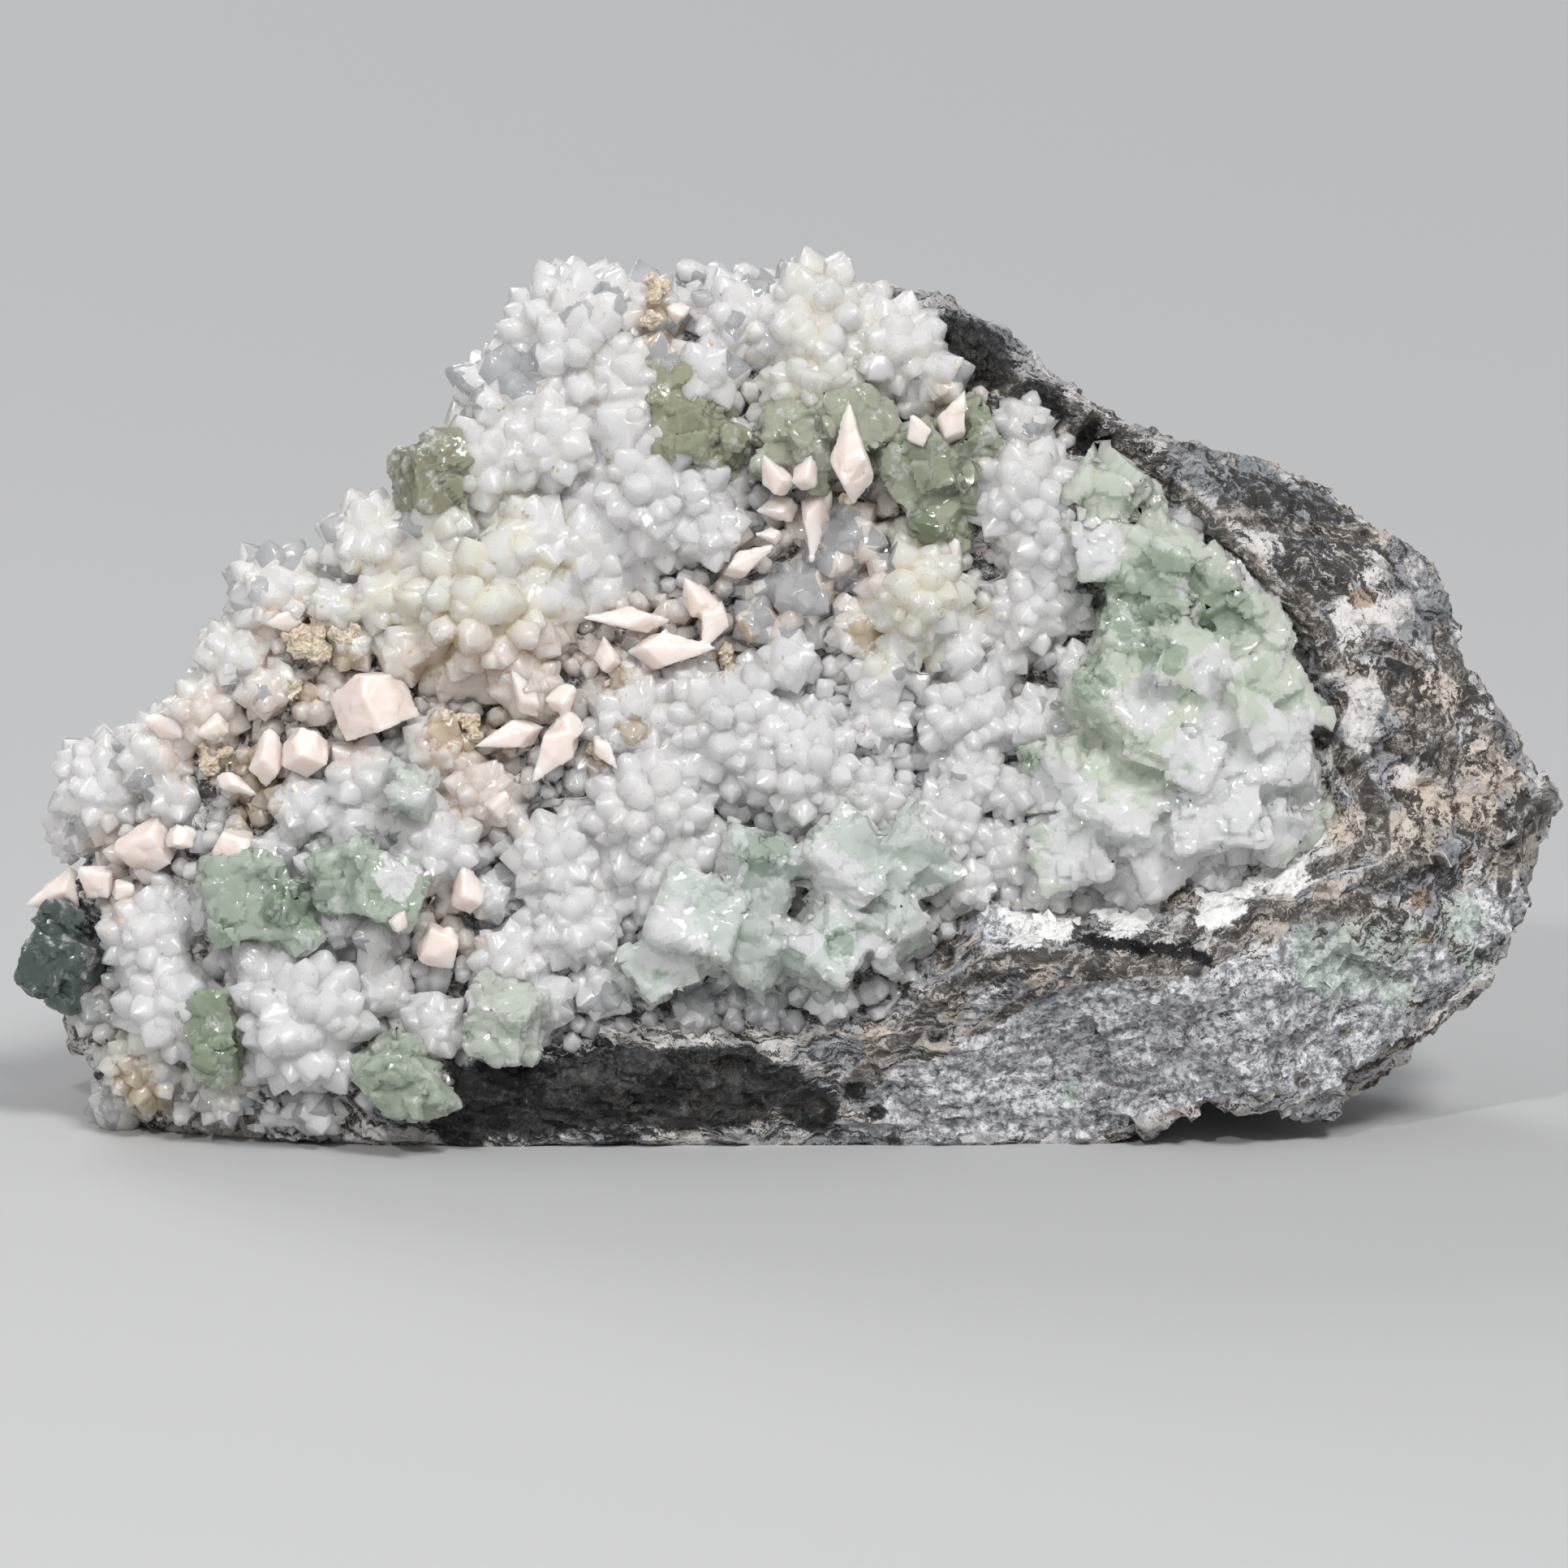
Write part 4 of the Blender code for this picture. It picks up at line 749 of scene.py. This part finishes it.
small_size.inputs[3].default_value = 1.30 * SMALL_CRYSTAL_WIDE * MM
small_pick = grow.nodes.new("FunctionNodeRandomValue")
small_pick.data_type = "INT"
small_pick.inputs[4].default_value = TIP_VARIANTS
small_pick.inputs[5].default_value = 2 * TIP_VARIANTS - 1
rise = grow.nodes.new("GeometryNodeTranslateInstances")
rise.inputs["Translation"].default_value = (0.0, 0.0, 1.3 * MM)
small = grow.nodes.new("GeometryNodeInstanceOnPoints")
small.inputs["Pick Instance"].default_value = True
grow.links.new(base.outputs["Geometry"], scatter.inputs["Mesh"])
grow.links.new(lean.outputs[0], lean_turn.inputs[0])
grow.links.new(scatter.outputs["Rotation"], leaning.inputs["Rotation"])
grow.links.new(lean_turn.outputs[0], leaning.inputs["Rotate By"])
grow.links.new(scatter.outputs["Points"], small.inputs["Points"])
grow.links.new(pick.outputs[0], small.inputs["Instance"])
grow.links.new(small_pick.outputs[2], small.inputs["Instance Index"])
grow.links.new(leaning.outputs[0], small.inputs["Rotation"])
grow.links.new(small_size.outputs[1], small.inputs["Scale"])
grow.links.new(small.outputs[0], rise.inputs["Instances"])
union = grow.nodes.new("GeometryNodeMeshBoolean")
union.operation = "UNION"
union.solver = "MANIFOLD"
grow.links.new(place.outputs[0], union.inputs["Mesh 2"])
grow.links.new(rise.outputs[0], union.inputs["Mesh 2"])
grow.links.new(base.outputs["Geometry"], union.inputs["Mesh 2"])
below = grow.nodes.new("GeometryNodeMeshCube")
below.inputs["Size"].default_value = (0.4, 0.4, 0.1)
sunk = grow.nodes.new("GeometryNodeTransform")
sunk.inputs["Translation"].default_value = (0.0, 0.0, -0.05)
level = grow.nodes.new("GeometryNodeMeshBoolean")
level.operation = "DIFFERENCE"
level.solver = "MANIFOLD"
grow.links.new(below.outputs["Mesh"], sunk.inputs["Geometry"])
grow.links.new(union.outputs[0], level.inputs["Mesh 1"])
grow.links.new(sunk.outputs[0], level.inputs["Mesh 2"])
nearest = grow.nodes.new("GeometryNodeSampleNearest")
grow.links.new(enter.outputs[0], nearest.inputs["Geometry"])
grown = level.outputs[0]
for name in ("cream", "clear"):
    sample = grow.nodes.new("GeometryNodeSampleIndex")
    grow.links.new(enter.outputs[0], sample.inputs["Geometry"])
    grow.links.new(named("FLOAT", name), sample.inputs["Value"])
    grow.links.new(nearest.outputs["Index"], sample.inputs["Index"])
    store = grow.nodes.new("GeometryNodeStoreNamedAttribute")
    store.domain = "FACE"
    store.inputs["Name"].default_value = name
    grow.links.new(grown, store.inputs["Geometry"])
    grow.links.new(sample.outputs["Value"], store.inputs["Value"])
    grown = store.outputs["Geometry"]
grow.links.new(grown, leave.inputs[0])
druse.modifiers.new("Crystals", "NODES").node_group = grow
bpy.ops.object.select_all(action="DESELECT")
druse.select_set(True)
apply_modifiers(druse)
print("druse", len(crystals), "crystals", len(druse.data.polygons), "faces")

CLEAR_FROM = 0.5
OCHRE = (
    (3.0, (-62, 64)), (2.0, (-57.5, 62)), (2.8, (-69.5, 48), (-70, 42)), (2.5, (-45, 53), (-38, 52)),
    (2.0, (-25, 49.5)), (2.0, (-20, 53)), (2.0, (-23, 60)), (2.0, (-5, 66)), (2.0, (-8, 63)), (1.8, (10, 66)),
    (1.8, (7.5, 83)), (1.6, (-17, 108), (-17, 104)), (1.6, (-73.8, 49.5)), (1.6, (-63, 58)), (1.2, (24, 89)),
    (2.2, (-86, 8), (-84, 4)), (1.2, (-44, 64), (-48, 60)),
)
PINKISH = (
    (7.0, (-60, 55), (-75, 52)), (5.0, (-88, 36), (-92, 31)), (5.0, (-48, 60), (-30, 62), (-18, 66)),
    (5.0, (-10, 68), (8, 74)), (4.0, (-2, 76), (12, 84)), (5.0, (-44, 50), (-38, 44)), (5.0, (-44, 28)),
    (4.0, (22, 96)), (3.5, (-17, 106)), (4.0, (-66, 66)),
)
painted(druse, "ochre", OCHRE)
painted(druse, "pinkish", PINKISH)
MILKY_WHITE = (0.91, 0.90, 0.905)
CREAM = (0.97, 0.87, 0.71)
milk = Shader("milky_quartz")
cloud = milk.noise(2.6, 3.0, 0.5)
creamy = milk.tree.nodes.new("ShaderNodeAttribute")
creamy.attribute_name = "cream"
cream_part = milk.math("MULTIPLY", creamy.outputs["Fac"], milk.ramp(cloud, 0.25, 0.75, 0.45, 1.0))
milk_colour = milk.mix(cream_part, MILKY_WHITE, CREAM)
crumb = milk.noise(1.5, 3.0, 0.6)
blush_part = milk.math("MULTIPLY", milk.stroke("pinkish", crumb), 0.90)
milk_colour = milk.mix(blush_part, milk_colour, (0.93, 0.80, 0.72))
stain = milk.stroke("ochre", crumb)
milk_colour = milk.mix(milk.math("MULTIPLY", stain, 0.65), milk_colour, (0.50, 0.38, 0.22))
milk_rough = milk.ramp(cloud, 0.35, 0.65, 0.16, 0.42)
mirror = milk.ramp(milk.math("FRACT", milk.math("MULTIPLY", milk.cells(2.8), 7.0)), 0.86, 0.90, 1.0, 0.05)
milk.set(
    Base_Color=milk_colour, Roughness=milk.math("MINIMUM", milk_rough, mirror), IOR=1.544,
    Subsurface_Weight=1.0, Subsurface_Radius=(1.0, 1.0, 1.0), Subsurface_Scale=4.0 * MM,
    Transmission_Weight=0.30, Normal=milk.bump(milk.noise(0.7, 2.0), 0.04),
)
clear = Shader("clear_quartz")
veil = clear.noise(1.8, 3.0, 0.6)
clear.set(
    Base_Color=clear.mix(veil, (0.76, 0.78, 0.81), (0.94, 0.94, 0.95)), IOR=1.544,
    Roughness=clear.ramp(veil, 0.35, 0.70, 0.05, 0.30), Transmission_Weight=0.6,
    Subsurface_Weight=1.0, Subsurface_Radius=(1.0, 1.0, 1.0), Subsurface_Scale=3.0 * MM,
    Normal=clear.bump(clear.noise(0.7, 2.0), 0.04),
)
druse.data.materials.clear()
druse.data.materials.append(milk.material)
druse.data.materials.append(clear.material)
clearness = np.empty(len(druse.data.polygons))
druse.data.attributes["clear"].data.foreach_get("value", clearness)
druse.data.polygons.foreach_set("material_index", (clearness > CLEAR_FROM).astype(np.int32))
bpy.ops.object.shade_smooth_by_angle(angle=math.radians(50.0))
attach(druse, "root")
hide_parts("quartz_crust")
bpy.data.objects.remove(quartz_base)
for tip in list(seed_crystals.objects):
    bpy.data.objects.remove(tip)


# Fluorite: cubes with cut corners, grown into one another, green to olive. Most faces are frosted by
# small steps of growth, and the large mass at the right is broken along its cleavage.
# The corner tint is near black: dark green fluorite darkened further by painted shade, for the lower left corner that
# lies in shadow.
FLUORITE_TINTS = {
    "left_edge": (0.36, 0.35, 0.25), "upper_left": (0.42, 0.43, 0.30), "top": (0.50, 0.52, 0.41),
    "upper_right": (0.44, 0.48, 0.36), "right_mass": (0.78, 0.84, 0.73), "lower": (0.76, 0.82, 0.76),
    "lower_left": (0.52, 0.59, 0.50), "cleft": (0.36, 0.42, 0.31), "bottom": (0.70, 0.75, 0.67),
    "bottom_left": (0.50, 0.56, 0.46), "corner": (0.12, 0.15, 0.14), "mid_left": (0.72, 0.77, 0.71),
}
CRAZED = (
    (3.5, (40, 77)), (6.0, (56, 50), (64, 46)), (4.0, (47, 57)), (4.5, (36, 44)), (6.5, (40, 38), (52, 37), (63, 41)),
    (3.5, (62, 75), (66, 72)), (3.5, (27, 46)), (4.5, (-15, 26)), (3.5, (6, 35)), (4.0, (66, 52)), (3.5, (54, 44)),
    (3.0, (56, 61)), (3.0, (-51, 34)), (2.5, (2, 26)), (3.5, (8, 32)), (2.5, (-10, 36)), (3.0, (12, 24)),
)
DEEP_GREEN = (
    (5.0, (50, 72)), (3.5, (29, 49)), (3.0, (37, 39)), (3.0, (49, 63)), (4.5, (44, 69)), (4.0, (57, 69)),
    (2.5, (52, 45)), (3.0, (-3, 37)), (2.0, (7, 25)), (3.0, (-66, 30)), (2.0, (-62, 29)), (2.0, (18, 80)),
    (3.5, (40, 60)), (2.5, (33, 56)),
)


def fluorite_material(name, tint):
    glow = Shader(name)
    cloud = glow.noise(4.0, 4.0, 0.6)
    crackle = glow.noise(0.8, 4.0, 0.7, 1.0)
    veins = glow.math("MULTIPLY", glow.ramp(cloud, 0.54, 0.68, 0.0, 0.70), glow.ramp(crackle, 0.36, 0.56, 0.20, 1.0))
    broken = glow.math("MULTIPLY", glow.stroke("crazed", cloud), glow.ramp(crackle, 0.30, 0.50, 0.55, 1.0))
    white = glow.math("MAXIMUM", veins, broken)
    deep = [0.56 * part for part in tint]
    deep[1] = 0.63 * tint[1]
    colour = glow.mix(glow.math("MULTIPLY", glow.stroke("deep_green", cloud), 0.8), tint, tuple(deep))
    colour = glow.mix(white, colour, (0.96, 0.97, 0.96))
    relief = glow.bump(glow.facets(4.0), 2.2)
    relief = glow.bump(glow.facets(1.2), 0.2, relief)
    glow.set(
        Base_Color=colour, Roughness=glow.ramp(crackle, 0.3, 0.7, 0.04, 0.26), IOR=1.434,
        Subsurface_Weight=0.8, Subsurface_Radius=(0.9, 1.1, 0.95), Subsurface_Scale=2.5 * MM,
        Transmission_Weight=0.35, Normal=relief,
    )
    return glow.material


for node in [name for name in frame["nodes"] if name.startswith("fluorite_")]:
    place_name = node.removeprefix("fluorite_")
    blocks = copy_of_node(node, place_name + "_fluorite")
    remeshed(blocks, 0.5)
    fractured(blocks, 7.0, 2.4, 1.6)
    fractured(blocks, 2.8, 1.0, 0.9)
    painted(blocks, "crazed", CRAZED)
    painted(blocks, "deep_green", DEEP_GREEN)
    bpy.ops.object.shade_smooth_by_angle(angle=math.radians(30.0))
    blocks.data.materials.append(fluorite_material("fluorite_" + place_name, FLUORITE_TINTS[place_name]))
    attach(blocks, "root")
    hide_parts(node)


# Clay and mica: soft ochre crumbs that have settled in the hollows between the crystals.
CLAY_LUMPS = (
    (-62, 64, 3.0, 4.0), (-60, 67, 2.2, 4.5), (-57.5, 65.5, 1.8, 5.5), (-69, 44, 2.6, 1.5), (-73.8, 49.5, 2.3, 4.5),
    (-63.2, 58.5, 1.8, 5.5), (-41, 53, 2.2, 4.0), (-45, 54, 1.8, 4.5), (-25, 50, 1.8, 4.0), (-20, 53.5, 1.8, 4.0),
    (-22.5, 60, 1.6, 4.5), (-5, 66, 1.8, 3.5), (-8.5, 63, 1.6, 3.5), (10, 65.5, 1.5, 4.5), (7.5, 83, 1.6, 3.5),
    (-17, 108, 2.0, 7.0), (-17.5, 104.5, 1.5, 7.5),
)
bpy.ops.object.select_all(action="DESELECT")
draw = random.Random(77)
for across, up, radius, proud in CLAY_LUMPS:
    for _ in range(4):
        place = on_floor(across + draw.uniform(-0.6, 0.6) * radius, up + draw.uniform(-0.6, 0.6) * radius)
        place += outward(place.x, place.z) * (proud - draw.uniform(0.8, 2.2))
        bpy.ops.mesh.primitive_ico_sphere_add(
            subdivisions=3, radius=radius * draw.uniform(0.40, 0.65) * MM, location=place * MM
        )
        bpy.context.object.name = "clay_lump"
for lump in [item for item in bpy.data.objects if item.name.startswith("clay_lump")]:
    lump.select_set(True)
bpy.ops.object.join()
clay = bpy.context.object
clay.name = "pocket_clay"
bpy.ops.object.transform_apply(location=True, rotation=True, scale=True)
remeshed(clay, 0.35)
fractured(clay, 1.2, 0.5, 0.6)
roughened(clay, "crumbs", "CLOUDS", 0.6, 0.7, noise_type="HARD_NOISE")
apply_modifiers(clay)
earth = Shader("ochre_clay")
crumb = earth.noise(0.7, 4.0, 0.7)
earth_colour = earth.mix(earth.ramp(crumb, 0.35, 0.65), (0.50, 0.41, 0.29), (0.74, 0.65, 0.53))
earth_colour = earth.mix(earth.ramp(earth.noise(3.0, 2.0), 0.55, 0.65), earth_colour, (0.80, 0.70, 0.58))
earth.set(Base_Color=earth_colour, Roughness=0.85, Normal=earth.bump(crumb, 0.3))
clay.data.materials.append(earth.material)
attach(clay, "root")


# Calcite: scalenohedra, six long faces to each tip with a zigzag girdle between them, satin and pinkish
# white. They grew last, on the quartz and the fluorite.
blush = Shader("calcite_satin")
veil = blush.noise(3.0, 3.0, 0.5)
blush_colour = blush.mix(veil, (0.80, 0.67, 0.61), (0.85, 0.77, 0.73))
grain = blush.noise(0.4, 2.0, 0.6)
blush.set(
    Base_Color=blush_colour, Roughness=blush.ramp(grain, 0.3, 0.7, 0.28, 0.45), IOR=1.6,
    Subsurface_Weight=1.0, Subsurface_Radius=(1.2, 1.0, 0.9), Subsurface_Scale=2.2 * MM,
    Normal=blush.bump(grain, 0.05),
)
for node in [name for name in frame["nodes"] if name.startswith("calcite_")]:
    crystal = copy_of_node(node, node.removeprefix("calcite_") + "_calcite")
    remeshed(crystal, 0.30)
    worn = crystal.modifiers.new("Worn edges", "SMOOTH")
    worn.iterations = 2
    roughened(crystal, "growth", "CLOUDS", 2.6, 0.30)
    apply_modifiers(crystal)
    fractured(crystal, 2.2, 0.10, 0.22)
    bpy.ops.object.shade_smooth_by_angle(angle=math.radians(35.0))
    crystal.data.materials.append(blush.material)
    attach(crystal, "root")
    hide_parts(node)


# The setting: a plain pale floor, a large soft light above and in front, a soft light from behind at the left, and a
# small bright one that picks out single crystal faces.
bpy.ops.object.select_all(action="DESELECT")
bpy.ops.mesh.primitive_plane_add(size=6.0, location=(0, 0, 0))
floor = bpy.context.object
floor.name = "floor"
paper = Shader("floor_paper")
paper.set(Base_Color=(0.50, 0.50, 0.50), Roughness=0.7)
floor.data.materials.append(paper.material)

world = bpy.data.worlds.new("studio")
world.use_nodes = True
world.node_tree.nodes["Background"].inputs["Color"].default_value = (0.95, 0.965, 1.0, 1.0)
world.node_tree.nodes["Background"].inputs["Strength"].default_value = 0.39
bpy.context.scene.world = world
bpy.context.scene.view_settings.view_transform = "Standard"

for name, where, softness, strength in (
    ("key_light", (0.30, -0.60, 0.75), 14.0, 1.95),
    ("back_light", (-0.40, 0.70, 0.60), 25.0, 0.7),
):
    bpy.ops.object.light_add(type="SUN", location=where)
    light = bpy.context.object
    light.name = name
    light.data.angle = math.radians(softness)
    light.data.energy = strength
    light.rotation_euler = Vector(where).to_track_quat("Z", "Y").to_euler()
bpy.ops.object.light_add(type="AREA", location=(-0.25, -0.75, 0.60))
light = bpy.context.object
light.name = "sparkle_light"
light.data.size = 0.04
light.data.energy = 3.0
light.rotation_euler = (light.location - AIM * MM).to_track_quat("Z", "Y").to_euler()
